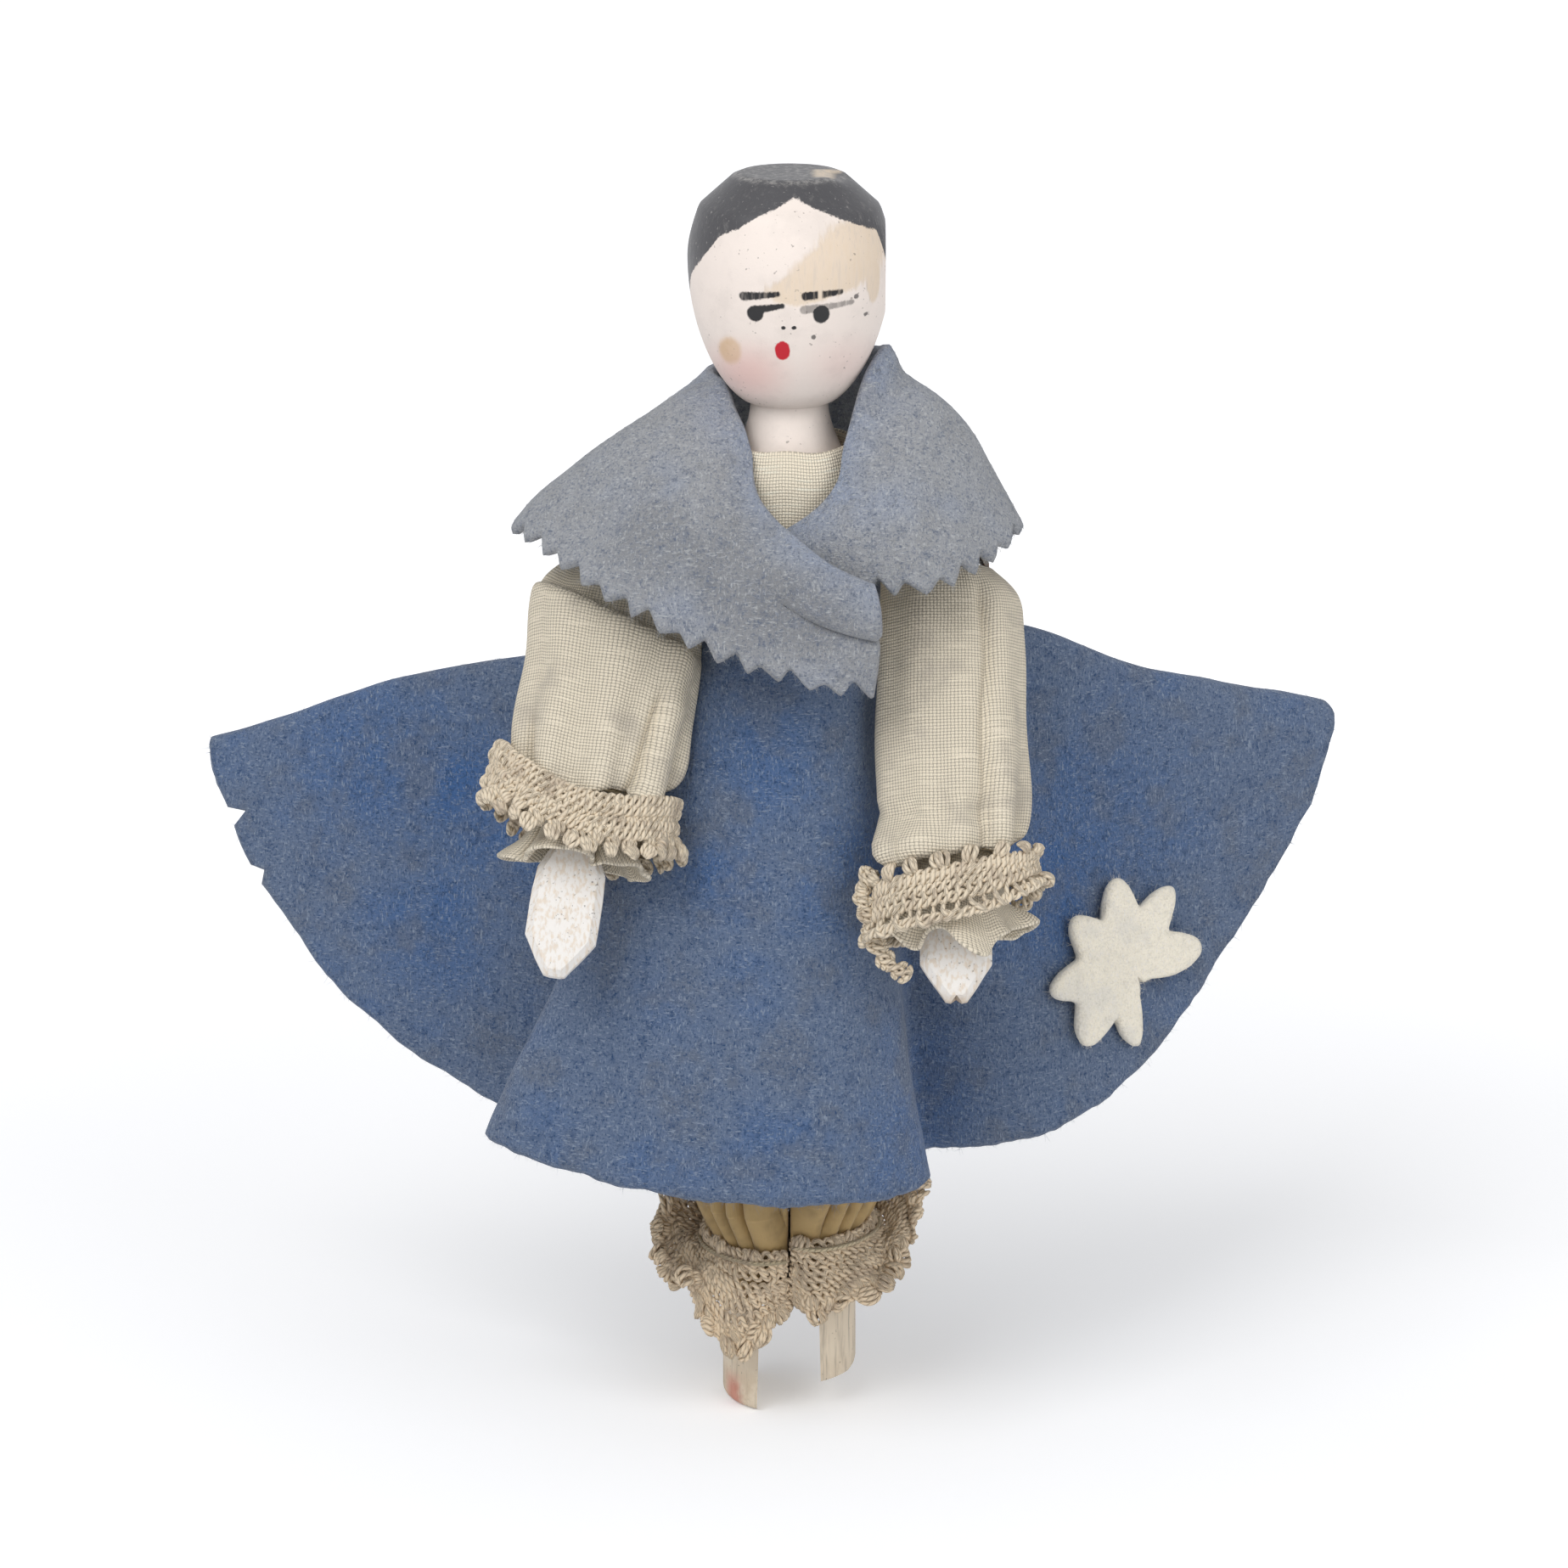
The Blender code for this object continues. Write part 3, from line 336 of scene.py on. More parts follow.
class DollSettings(bpy.types.PropertyGroup):
    """All settings of the doll."""

    peg: PointerProperty(type=PegSizes)
    arm: PointerProperty(type=ArmSizes)
    dress: PointerProperty(type=DressSizes)
    colours: PointerProperty(type=DollColours)


def read(group):
    """A settings group as plain numbers, with its lengths in millimetres."""
    plain = {}
    for key, prop in group.bl_rna.properties.items():
        if key in {"rna_type", "name"}:
            continue
        value = getattr(group, key)
        if prop.type == "FLOAT" and prop.array_length:
            value = (*value, 1.0)
        elif prop.unit == "LENGTH":
            value = value / MM
        plain[key] = value
    return SimpleNamespace(**plain)


# Shader expressions
class Value:
    """A shader socket that takes part in Python expressions, each of which adds its Math nodes."""

    def __init__(self, owner, socket):
        self.owner = owner
        self.socket = socket

    def math(self, operation, *terms):
        return self.owner.node("ShaderNodeMath", {"operation": operation}, dict(enumerate(terms)))

    def __add__(self, other):
        return self.math("ADD", self, other)

    __radd__ = __add__

    def __sub__(self, other):
        return self.math("SUBTRACT", self, other)

    def __rsub__(self, other):
        return self.math("SUBTRACT", other, self)

    def __mul__(self, other):
        return self.math("MULTIPLY", self, other)

    __rmul__ = __mul__

    def __truediv__(self, other):
        return self.math("DIVIDE", self, other)

    def __rtruediv__(self, other):
        return self.math("DIVIDE", other, self)

    def __pow__(self, power):
        return self.math("POWER", self, power)

    def __abs__(self):
        return self.math("ABSOLUTE", self)


class Nodes:
    """A node tree, and the one way in which nodes are added to it."""

    def __init__(self, tree):
        self.tree = tree

    def node(self, kind, settings=None, sockets=None, output=0):
        """Add a node, set it up, link or set its sockets, and wrap one of its outputs."""
        node = self.tree.nodes.new(kind)
        for key, setting in (settings or {}).items():
            if key == "stops":
                self.set_stops(node.color_ramp, setting)
            else:
                setattr(node, key, setting)
        self.connect(node, sockets or {})
        return Value(self, node.outputs[output])

    def set_stops(self, ramp, stops):
        while len(ramp.elements) < len(stops):
            ramp.elements.new(1.0)
        for element, (place, grey) in zip(ramp.elements, stops):
            element.position = place
            element.color = (grey, grey, grey, 1.0)

    def connect(self, node, sockets):
        for key, term in sockets.items():
            if isinstance(term, Value):
                self.tree.links.new(term.socket, node.inputs[key])
            else:
                node.inputs[key].default_value = term

    def seen(self):
        """One for what the camera sees, straight, in a mirror or through glass; zero for the light it gives."""
        rays = self.node("ShaderNodeLightPath", output="Is Camera Ray")
        for kind in ("Is Glossy Ray", "Is Transmission Ray"):
            rays = rays.math("MAXIMUM", rays, self.node("ShaderNodeLightPath", output=kind))
        return rays


class Finish(Nodes):
    """A procedural material: a Principled shader and the nodes that feed it."""

    def __init__(self, name):
        self.material = bpy.data.materials.new(name)
        self.material.use_nodes = True
        super().__init__(self.material.node_tree)
        self.shader = self.tree.nodes["Principled BSDF"]

    def feed(self, sockets):
        self.connect(self.shader, sockets)
        return self.material

    def mix(self, first, second, factor):
        return self.node("ShaderNodeMix", {"data_type": "RGBA"}, {0: factor, 6: first, 7: second}, output=2)

    def smooth(self, term, low, high):
        """Zero at low, one at high, with a soft run between."""
        sockets = {"Value": term, "From Min": low, "From Max": high}
        return self.node("ShaderNodeMapRange", {"interpolation_type": "SMOOTHSTEP"}, sockets)

    def place(self):
        """Position on the piece in millimetres from the foot of the peg."""
        here = self.node("ShaderNodeTexCoord", output="Object")
        sockets = {0: here, 1: (1 / MM, 1 / MM, 1 / MM), 2: tuple(-STANDING / MM)}
        return self.node("ShaderNodeVectorMath", {"operation": "MULTIPLY_ADD"}, sockets)

    def stretch(self, vector, factors):
        return self.node("ShaderNodeVectorMath", {"operation": "MULTIPLY"}, {0: vector, 1: factors})

    def split(self, vector):
        first = self.node("ShaderNodeSeparateXYZ", None, {0: vector})
        return [Value(self, socket) for socket in first.socket.node.outputs]

    def cloud(self, vector, grain, detail=2.0, rough=0.5):
        """Soft noise with features of a given size in millimetres."""
        sockets = {"Vector": vector, "Scale": 1 / grain, "Detail": detail, "Roughness": rough}
        return self.node("ShaderNodeTexNoise", sockets=sockets)

    def flat(self):
        """Distance along and across a piece of cloth in millimetres."""
        return self.split(self.node("ShaderNodeUVMap", {"uv_map": "cloth"}))[:2]

    def bump(self, height, depth, strength):
        """A surface raised by up to a depth in millimetres."""
        return self.node("ShaderNodeBump", None, {"Height": height, "Distance": depth * MM, "Strength": strength})


# Shape helpers
def polar(radius, azimuth):
    angle = np.radians(azimuth)
    return radius * np.sin(angle), -radius * np.cos(angle)


def circle(total):
    """Evenly spaced angles round a circle."""
    return np.linspace(0, 2 * math.pi, total, endpoint=False)


def unit(vectors):
    return vectors / np.maximum(np.linalg.norm(vectors, axis=-1, keepdims=True), 1e-9)


def spline(keys, samples, closed):
    """Points at even steps along a Catmull-Rom curve through the keys."""
    keys = np.asarray(keys, float)
    total = len(keys)
    spans = total if closed else total - 1
    t = np.linspace(0, spans, samples, endpoint=not closed)
    i = np.minimum(t.astype(int), spans - 1)
    f = (t - i)[:, None]
    near = [keys[(i + k) % total] if closed else keys[np.clip(i + k, 0, total - 1)] for k in (-1, 0, 1, 2)]
    a, b, c, d = near
    return b + 0.5 * f * (c - a + f * (2 * a - 5 * b + 4 * c - d + f * (3 * (b - c) + d - a)))


def ripple(points, wavelength, seed):
    """Smooth relief of about -1 to 1: a few sine waves crossing at fixed random angles."""
    rng = np.random.default_rng(seed)
    directions = unit(rng.normal(size=(8, 3)))
    lengths = wavelength * rng.uniform(0.7, 1.6, 8)
    phases = rng.uniform(0, 2 * math.pi, 8)
    waves = np.sin(np.asarray(points) @ directions.T * (2 * math.pi / lengths) + phases)
    return 1.6 * waves.mean(axis=-1)


def ease(values, low, high):
    """Zero up to low, one from high on, with a soft run between."""
    t = np.clip((np.asarray(values, float) - low) / (high - low), 0, 1)
    return t * t * (3 - 2 * t)


def bell(values, at, wide):
    """A soft rise to one at a value, gone at about twice its spread to either side."""
    return np.exp(-((values - at) / wide) ** 2)


def distances(path):
    """Distance from the start of a path to each of its points."""
    return np.concatenate([[0], np.cumsum(np.linalg.norm(np.diff(path, axis=0), axis=1))])


def row_lengths(grid, closed):
    """Length of each row of a grid, back to its start where it is closed."""
    steps = np.linalg.norm(np.roll(grid, -1, axis=1) - grid, axis=2)
    return (steps if closed else steps[:, :-1]).sum(axis=1)


def column_lengths(grid):
    return np.linalg.norm(np.diff(grid, axis=0), axis=2).sum(axis=0)


def ring_faces(index):
    """Four-sided faces between neighbouring rings of points, each ring closed."""
    after = np.roll(index, -1, axis=-1)
    corners = [index[..., :-1, :], after[..., :-1, :], after[..., 1:, :], index[..., 1:, :]]
    return np.stack(corners, axis=-1).reshape(-1, 4)


def grid_normals(grid, closed):
    if closed:
        across = np.roll(grid, -1, axis=1) - np.roll(grid, 1, axis=1)
    else:
        across = np.gradient(grid, axis=1)
    return unit(np.cross(across, np.gradient(grid, axis=0)))


def add_mesh(name, points, faces, flat=None):
    """An object from points in millimetres about the foot of the peg, with its faces turned outwards."""
    mesh = bpy.data.meshes.new(name)
    outlines = faces.tolist() if isinstance(faces, np.ndarray) else faces
    mesh.from_pydata((np.asarray(points) * MM + STANDING).tolist(), [], outlines)
    if flat is not None:
        corners = np.empty(len(mesh.loops), dtype=np.int32)
        mesh.loops.foreach_get("vertex_index", corners)
        layer = mesh.uv_layers.new(name="cloth")
        layer.data.foreach_set("uv", np.asarray(flat, dtype=np.float32)[corners].ravel())
    bm = bmesh.new()
    bm.from_mesh(mesh)
    bmesh.ops.recalc_face_normals(bm, faces=bm.faces)
    bm.to_mesh(mesh)
    bm.free()
    obj = bpy.data.objects.new(name, mesh)
    bpy.context.scene.collection.objects.link(obj)
    return obj


def add_piece(name, shape, finish, body, slot, *nodes):
    """A smooth piece of a shape and finish, riding on a body and standing for nodes of the frame."""
    obj = add_mesh(name, *shape)
    obj.data.shade_smooth()
    obj.data.materials.append(finish)
    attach(obj, body)
    if nodes:
        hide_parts(*nodes)
    return obj


def cloth(grid, thickness, closed, flat):
    """Points, faces and flat places of a sheet of even thickness with soft edges about a grid of points."""
    rows, columns = grid.shape[:2]
    offset = grid_normals(grid, closed) * thickness / 2
    rim = 0.35 * thickness
    top = grid[0] + rim * unit(grid[0] - grid[1])
    hem = grid[-1] + rim * unit(grid[-1] - grid[-2])
    points = [(grid + offset).reshape(-1, 3), (grid - offset).reshape(-1, 3), top, hem]
    places = [flat.reshape(-1, 2), flat.reshape(-1, 2), flat[0], flat[-1]]
    index = np.arange(rows * columns).reshape(rows, columns)
    back = index + rows * columns
    top_rim = 2 * rows * columns + np.arange(columns)
    hem_rim = top_rim + columns
    j = np.arange(columns if closed else columns - 1)
    k = (j + 1) % columns
    faces = []
    for side in (index, back):
        quads = np.stack([side[:-1, j], side[:-1, k], side[1:, k], side[1:, j]], axis=-1)
        faces.append(quads.reshape(-1, 4))
        faces.append(np.stack([side[0, j], top_rim[j], top_rim[k], side[0, k]], axis=-1))
        faces.append(np.stack([side[-1, j], side[-1, k], hem_rim[k], hem_rim[j]], axis=-1))
    if not closed:
        start = 2 * rows * columns + 2 * columns
        for column, inner in ((0, 1), (-1, -2)):
            edge = start + np.arange(rows)
            points.append(grid[:, column] + rim * unit(grid[:, column] - grid[:, inner]))
            places.append(flat[:, column])
            for side in (index, back):
                faces.append(np.stack([side[:-1, column], side[1:, column], edge[1:], edge[:-1]], axis=-1))
            corner = 0 if column == 0 else columns - 1
            faces.append(np.array([[index[0, column], top_rim[corner], back[0, column], edge[0]]]))
            faces.append(np.array([[index[-1, column], hem_rim[corner], back[-1, column], edge[-1]]]))
            start += rows
    return np.concatenate(points), np.concatenate(faces), np.concatenate(places)


def flat_grid(grid, width):
    """Flat places for a grid: an even share of the width along, and the true distance down each column."""
    rows, columns = grid.shape[:2]
    steps = np.linalg.norm(np.diff(grid, axis=0), axis=2)
    down = np.concatenate([np.zeros((1, columns)), np.cumsum(steps, axis=0)])
    along = np.broadcast_to(np.linspace(0, width, columns), (rows, columns))
    return np.stack([along, down], axis=-1)


def tubes(paths, radius, sides=6):
    """Yarn along paths: points, faces and the turn round and run along each yarn."""
    angles = circle(sides)
    points, faces, places = [], [], []
    start = 0
    for path in paths:
        path = np.asarray(path, float)
        along = unit(np.gradient(path, axis=0))
        side = np.cross(along[0], (0.3, 0.5, 0.8))
        sides_on = []
        for step in along:
            side = side - step * np.dot(side, step)
            side = side / max(np.linalg.norm(side), 1e-9)
            sides_on.append(side)
        sides_on = np.array(sides_on)
        other = np.cross(along, sides_on)
        taper = np.ones(len(path))
        taper[0] = taper[-1] = 0.45
        ring = np.cos(angles)[None, :, None] * sides_on[:, None] + np.sin(angles)[None, :, None] * other[:, None]
        points.append((path[:, None] + radius * taper[:, None, None] * ring).reshape(-1, 3))
        turn_run = np.stack(np.meshgrid(angles / (2 * math.pi), distances(path)), axis=-1)
        places.append(turn_run.reshape(-1, 2))
        index = start + np.arange(len(path) * sides).reshape(len(path), sides)
        faces += ring_faces(index).tolist()
        faces.append(index[0, ::-1].tolist())
        faces.append(index[-1].tolist())
        start += len(path) * sides
    return np.concatenate(points), faces, np.concatenate(places)


def add_yarn(name, paths, radius, finish, body, slot, *nodes):
    """A piece made of yarn along paths."""
    return add_piece(name, tubes(paths, radius), finish, body, slot, *nodes)


def hairs(roots, directions, bends, lengths, radius):
    """Fine fibres: three-sided tapering hairs from roots, bending as they go."""
    steps = np.array([0.0, 0.35, 0.7, 1.0])
    widths = radius * np.array([1.0, 0.9, 0.7, 0.3])
    run = lengths[:, None, None] * steps[None, :, None]
    spine = roots[:, None] + run * directions[:, None] + run * steps[None, :, None] * bends[:, None]
    side = unit(np.cross(directions, bends + (0.13, 0.29, 0.41)))
    other = unit(np.cross(directions, side))
    angles = np.array([0.0, 2.1, 4.2])
    ring = np.cos(angles)[:, None] * side[:, None] + np.sin(angles)[:, None] * other[:, None]
    points = spine[:, :, None] + widths[None, :, None, None] * ring[:, None]
    points = points.reshape(-1, 3)
    return points, ring_faces(np.arange(len(points)).reshape(-1, len(steps), len(angles)))


def add_fuzz(name, grid, closed, thickness, amounts, reaches, finish, slot, seed):
    """Loose fibres over both faces of a felt sheet and along its hem: how many of each, and how long."""
    amount, edge_amount = amounts
    rng = np.random.default_rng(seed)
    normals = grid_normals(grid, closed)
    rows, columns = grid.shape[:2]
    i = rng.integers(0, rows, amount)
    j = rng.integers(0, columns, amount)
    facing = rng.choice([-1.0, 1.0], amount, p=[0.25, 0.75])[:, None]
    out = normals[i, j] * facing
    tangent = rng.normal(size=(amount, 3))
    tangent = unit(tangent - out * (tangent * out).sum(axis=1, keepdims=True))
    jitter = tangent[:, [1, 2, 0]] * 0.3
    roots = [grid[i, j] + out * thickness * 0.48 + jitter - out * (jitter * out).sum(axis=1, keepdims=True)]
    directions = [unit(tangent + 0.35 * out)]
    bends = [-0.45 * out + 0.5 * np.cross(out, tangent) * rng.normal(size=(amount, 1))]
    j = rng.integers(0, columns, edge_amount)
    fall = unit(grid[-1] - grid[-2])[j]
    spread = rng.normal(size=(edge_amount, 3))
    roots.append(grid[-1, j] + normals[-1, j] * rng.uniform(-0.45, 0.45, (edge_amount, 1)) * thickness)
    directions.append(unit(fall + 0.7 * spread))
    bends.append(0.5 * rng.normal(size=(edge_amount, 3)))
    lengths = np.repeat(reaches, amounts) * rng.uniform(0.4, 1.0, amount + edge_amount)
    shape = hairs(np.concatenate(roots), np.concatenate(directions), np.concatenate(bends), lengths, 0.013)
    return add_piece(name, shape, finish, "doll", slot)


# Finishes
def toned(colour, by):
    """A colour made darker or paler, within range."""
    return tuple(min(1.0, by * channel) for channel in colour[:3]) + (1.0,)


def painted_peg(c, peg):
    """Cream paint on wood with hair, a painted face, worn patches and dirty feet."""
    f = Finish("painted_peg")
    here = f.place()
    x, y, z = f.split(here)
    shake = f.cloud(here, 0.9, 3.0)
    fine = f.cloud(here, 0.22, 3.0)
    below = peg.peg_length - z
    px = x + 0.22 * (shake - 0.5)
    pd = below + 0.22 * (fine - 0.5)
    front = f.smooth(y, 0.0, -1.0)

    def blot(at_x, at_d, wide, tall, soft=0.25):
        """An oval daub on the front of the head."""
        apart = (((px - at_x) / wide) ** 2 + ((pd - at_d) / tall) ** 2) ** 0.5
        return f.smooth(apart, 1.0 + soft, 1.0 - soft) * front

    def stroke(start_x, start_d, end_x, end_d, half):
        """A brush stroke with round ends that thins towards its end."""
        run_x, run_d = end_x - start_x, end_d - start_d
        along = ((px - start_x) * run_x + (pd - start_d) * run_d) / (run_x ** 2 + run_d ** 2)
        along = along.math("MINIMUM", along.math("MAXIMUM", along, 0.0), 1.0)
        off = ((px - start_x - along * run_x) ** 2 + (pd - start_d - along * run_d) ** 2) ** 0.5
        reach = half * (1.0 - 0.45 * along)
        return f.smooth(off - reach, 0.1, -0.08) * front

    streaks = f.cloud(f.stretch(here, (1.0, 1.0, 0.12)), 0.35, 3.0, 0.6)
    wear = f.cloud(here, 2.2, 4.0, 0.6)
    paint = f.mix(c.cream, toned(c.cream, 0.86), f.smooth(wear, 0.45, 0.75) * 0.5)
    blush = blot(-3.5, 15.7, 2.7, 2.1, 0.9) * 0.5 + blot(4.4, 15.0, 2.4, 1.9, 0.9) * 0.2
    paint = f.mix(paint, c.blush, blush * 0.8)
    patch = blot(5.0, 5.6, 2.9, 2.6, 0.5) + blot(2.7, 7.2, 2.6, 1.7, 0.5) + blot(6.9, 8.4, 0.5, 1.6, 0.4)
    patch = patch + blot(0.4, 8.5, 2.2, 1.1, 0.6)
    patch = f.smooth(patch + 0.9 * (streaks - 0.5), 0.2, 0.75)
    bare = f.mix(c.worn_wood, toned(c.worn_wood, 0.72), f.smooth(streaks, 0.5, 0.72) * 0.6)
    paint = f.mix(paint, bare, patch * (0.95 - 0.5 * streaks))
    spot = blot(-4.9, 13.9, 0.9, 1.2, 0.3)
    tan = (0.88 * c.worn_wood[0], 0.71 * c.worn_wood[1], 0.49 * c.worn_wood[2], 1.0)
    paint = f.mix(paint, tan, spot * (0.35 + 0.6 * wear))
    specks = f.smooth(f.cloud(here, 0.33, 1.0), 0.7, 0.76) * f.smooth(f.cloud(here, 3.1, 1.0), 0.42, 0.6)
    paint = f.mix(paint, c.grime, specks * 0.5)
    marks = blot(1.95, 12.36, 0.2, 0.2) + blot(5.5, 9.2, 0.22, 0.22) + blot(6.28, 10.9, 0.18, 0.18)
    paint = f.mix(paint, c.ink, marks * 0.8)
    # Painted shade: the paint is darkened in a band under the chin, where the head meets the neck.
    chin_shade = f.smooth(below, 17.4, 19.2) * f.smooth(below, 20.6, 19.4)
    paint = f.mix(paint, c.grime, chin_shade * 0.2)

    worn = f.smooth(streaks, 0.68, 0.46)
    brows = stroke(-3.75, 8.95, -0.95, 8.62, 0.36) * (0.8 + 0.2 * worn)
    brows += stroke(1.35, 8.8, 4.2, 8.62, 0.36) * f.smooth(abs(x - 2.5), 0.08, 0.26) * (0.7 + 0.3 * worn)
    lids = stroke(-2.4, 9.95, -0.6, 9.6, 0.34)
    lids += stroke(1.2, 9.95, 5.1, 9.6, 0.34) * (0.42 + 0.18 * worn)
    eyes = blot(-2.8, 10.35, 0.66, 0.68, 0.12) + blot(2.6, 10.42, 0.68, 0.74, 0.12)
    nose = blot(-0.52, 11.48, 0.2, 0.16) + blot(0.36, 11.48, 0.2, 0.16)
    drawn = brows + lids + eyes + nose
    ink = drawn.math("MINIMUM", drawn, 1.0)
    paint = f.mix(paint, c.ink, ink)
    paint = f.mix(paint, c.mouth, blot(-0.56, 13.5, 0.63, 0.84, 0.1))

    azimuth = x.math("ARCTAN2", x, 0.0 - y) / (2 * math.pi) + 0.5
    stops = [(angle / 360 + 0.5, drop / 20) for angle, drop in HAIRLINE]
    hairline = f.node("ShaderNodeValToRGB", {"stops": stops}, {0: azimuth}) * 20.0
    tattered = below + 0.5 * (shake - 0.5) + 0.35 * (fine - 0.5)
    hair = f.smooth(tattered - hairline, 0.09, -0.09) * f.smooth(below, peg.head_height, peg.head_height - 1)
    rub = f.cloud(f.stretch(here, (1.0, 1.0, 0.35)), 0.5, 5.0, 0.75)
    dust = f.smooth(rub, 0.52, 0.75) * 0.55
    flecks = f.smooth(f.cloud(here, 0.3, 1.0), 0.70, 0.75)
    ring = f.smooth(abs((x ** 2 + y ** 2) ** 0.5 - peg.crown_radius), 0.5, 0.0)
    rim = ring * f.smooth(below, 1.0, 0.2) * f.smooth(rub, 0.4, 0.6)
    hair_paint = f.mix(c.hair, c.scuff, (dust + flecks * 0.8 + rim * 0.9) * 0.8)
    top = f.smooth(below, 0.25, 0.05)
    chip = f.smooth(x + 1.3 * (rub - 0.5), 1.6, 2.4) * f.smooth(abs(y + 0.6), 2.2, 1.4) * top
    hair_paint = f.mix(hair_paint, c.worn_wood, chip * 0.8)
    crown_dirt = top * f.smooth(rub, 0.45, 0.6) * 0.5
    hair_paint = f.mix(hair_paint, c.scuff, crown_dirt)
    paint = f.mix(paint, hair_paint, hair)

    low = f.smooth(z, 30.0, 20.0)
    grain = f.cloud(f.stretch(here, (1.0, 1.0, 0.1)), 0.6, 4.0, 0.6)
    feet = f.mix(c.foot, c.grime, f.smooth(grain, 0.47, 0.78) * 0.6 + specks * 0.6)
    red = f.smooth(x + 1.2 * (shake - 0.5), -3.7, -4.7) * f.smooth(z, 3.6, 1.4) * f.smooth(y, -1.0, -3.0)
    dirty = f.smooth(z, 6.0, 0.0) * f.smooth(wear, 0.42, 0.62)
    feet = f.mix(feet, c.hand_tip, dirty * 0.45)
    feet = f.mix(feet, c.foot_red, red * 0.7)
    paint = f.mix(paint, feet, low)

    height = 0.6 * wear + 0.25 * fine - 0.8 * patch + 0.35 * ink + 0.4 * hair
    sockets = {"Base Color": paint, "Roughness": 0.62 - 0.2 * hair + 0.2 * patch, "Normal": f.bump(height, 0.12, 0.6)}
    return f.feed(sockets)


def painted_hand(c):
    """White paint on whittled wood, chipped and dirty at the tip."""
    f = Finish("painted_arm")
    here = f.place()
    z = f.split(here)[2]
    wear = f.cloud(here, 0.9, 4.0, 0.65)
    grain = f.cloud(f.stretch(here, (1.0, 1.0, 0.2)), 0.3, 3.0)
    specks = f.smooth(f.cloud(here, 0.24, 2.0), 0.64, 0.7) * f.smooth(f.cloud(here, 1.6, 1.0), 0.45, 0.6)
    paint = f.mix(c.hand, toned(c.hand, 0.74), f.smooth(grain, 0.45, 0.7) * 0.6)
    tip = f.smooth(z + 2.4 * (wear - 0.5), 42.8, 40.2)
    paint = f.mix(paint, c.hand_tip, tip * 0.8)
    paint = f.mix(paint, c.worn_wood, f.smooth(grain + 0.4 * wear, 0.66, 0.85) * 0.5)
    paint = f.mix(paint, c.grime, specks * 0.65)
    height = wear * 0.6 + grain * 0.4 - specks * 0.5
    return f.feed({"Base Color": paint, "Roughness": 0.5 + 0.3 * wear, "Normal": f.bump(height, 0.1, 0.7)})


def dull_wire(c):
    """Bare wire, spotted with rust."""
    f = Finish("dull_wire")
    rust = f.smooth(f.cloud(f.place(), 0.7, 4.0), 0.5, 0.65)
    f.feed({"Metallic": 1.0 - 0.8 * rust, "Roughness": 0.4 + 0.4 * rust})
    return f.feed({"Base Color": f.mix(c.wire, c.rust, rust)})


def felt(name, pale, deep, fibre, blots=(), edge=0.0, fleck=1.0, painted_shade=()):
    """Matted wool, mottled, with pale fibres; bluer at blots and along its upper edge, and darker at patches of painted
    shade.
    """
    f = Finish(name)
    here = f.place()
    x, _, z = f.split(here)
    down = f.flat()[1]
    cloudy = f.cloud(here, 7.0, 2.0)
    mottle = f.cloud(here, 0.9, 3.0, 0.6)
    grain = f.cloud(here, 0.22, 2.0, 0.7)
    bend = f.cloud(here, 2.0, 1.0)
    strand_a = f.cloud(f.stretch(here, (1.9, 1.0, 0.6)), 0.30, 2.0, 0.6)
    strand_b = f.cloud(f.stretch(here, (0.6, 1.0, 1.9)), 0.30, 2.0, 0.6)

    def apart(at_x, at_z, reach, stray):
        """How far a place is from a blot, as a share of its reach, with a cloudy edge."""
        return ((x - at_x) ** 2 + (z - at_z) ** 2) ** 0.5 / reach + stray * (cloudy - 0.5)

    blue = 0.5 * f.smooth(cloudy, 0.5, 0.74)
    for blot in blots:
        blue = blue + 0.65 * f.smooth(apart(*blot, 1.6) + 0.5 * (mottle - 0.5), 1.15, 0.1)
    if edge:
        blue = blue + 0.7 * f.smooth(down + 4.0 * (cloudy - 0.5), edge, 0.0)
    colour = f.mix(pale, deep, blue.math("MINIMUM", blue, 1.0))
    level = sum(pale[:3]) / 3
    dusty = tuple(0.45 * value + 0.4 * level for value in pale[:3]) + (1.0,)
    colour = f.mix(colour, dusty, 0.55 * f.smooth(f.cloud(here, 4.2, 3.0, 0.6), 0.47, 0.66))
    # Painted shade: the felt is darkened towards a deeper grey at these patches.
    for blot in painted_shade:
        colour = f.mix(colour, toned(pale, 0.6), 0.55 * f.smooth(apart(*blot, 1.2), 1.1, 0.2))
    flecks = fleck * (0.5 * f.smooth(mottle, 0.5, 0.72) + 0.75 * f.smooth(grain, 0.5, 0.66))
    colour = f.mix(colour, toned(deep, 0.5), flecks)
    gate = f.smooth(bend, 0.4, 0.6)
    lint = f.smooth(strand_a, 0.53, 0.7) * (1.0 - 0.7 * gate) + f.smooth(strand_b, 0.53, 0.7) * (0.3 + 0.7 * gate)
    colour = f.mix(colour, fibre, 0.55 * lint)
    height = 0.5 * grain + 0.4 * strand_a + 0.4 * strand_b + 0.3 * mottle
    f.feed({"Sheen Weight": 0.2, "Sheen Roughness": 0.6, "Specular IOR Level": 0.1, "Roughness": 1.0})
    return f.feed({"Base Color": colour, "Normal": f.bump(height, 0.3, 0.9)})


def plain_fibre(name, colour, dark):
    """Loose fibres and hairs in two tones."""
    f = Finish(name)
    tone = f.cloud(f.place(), 0.8, 1.0)
    f.feed({"Roughness": 0.9, "Specular IOR Level": 0.15})
    return f.feed({"Base Color": f.mix(colour, dark, f.smooth(tone, 0.35, 0.65))})


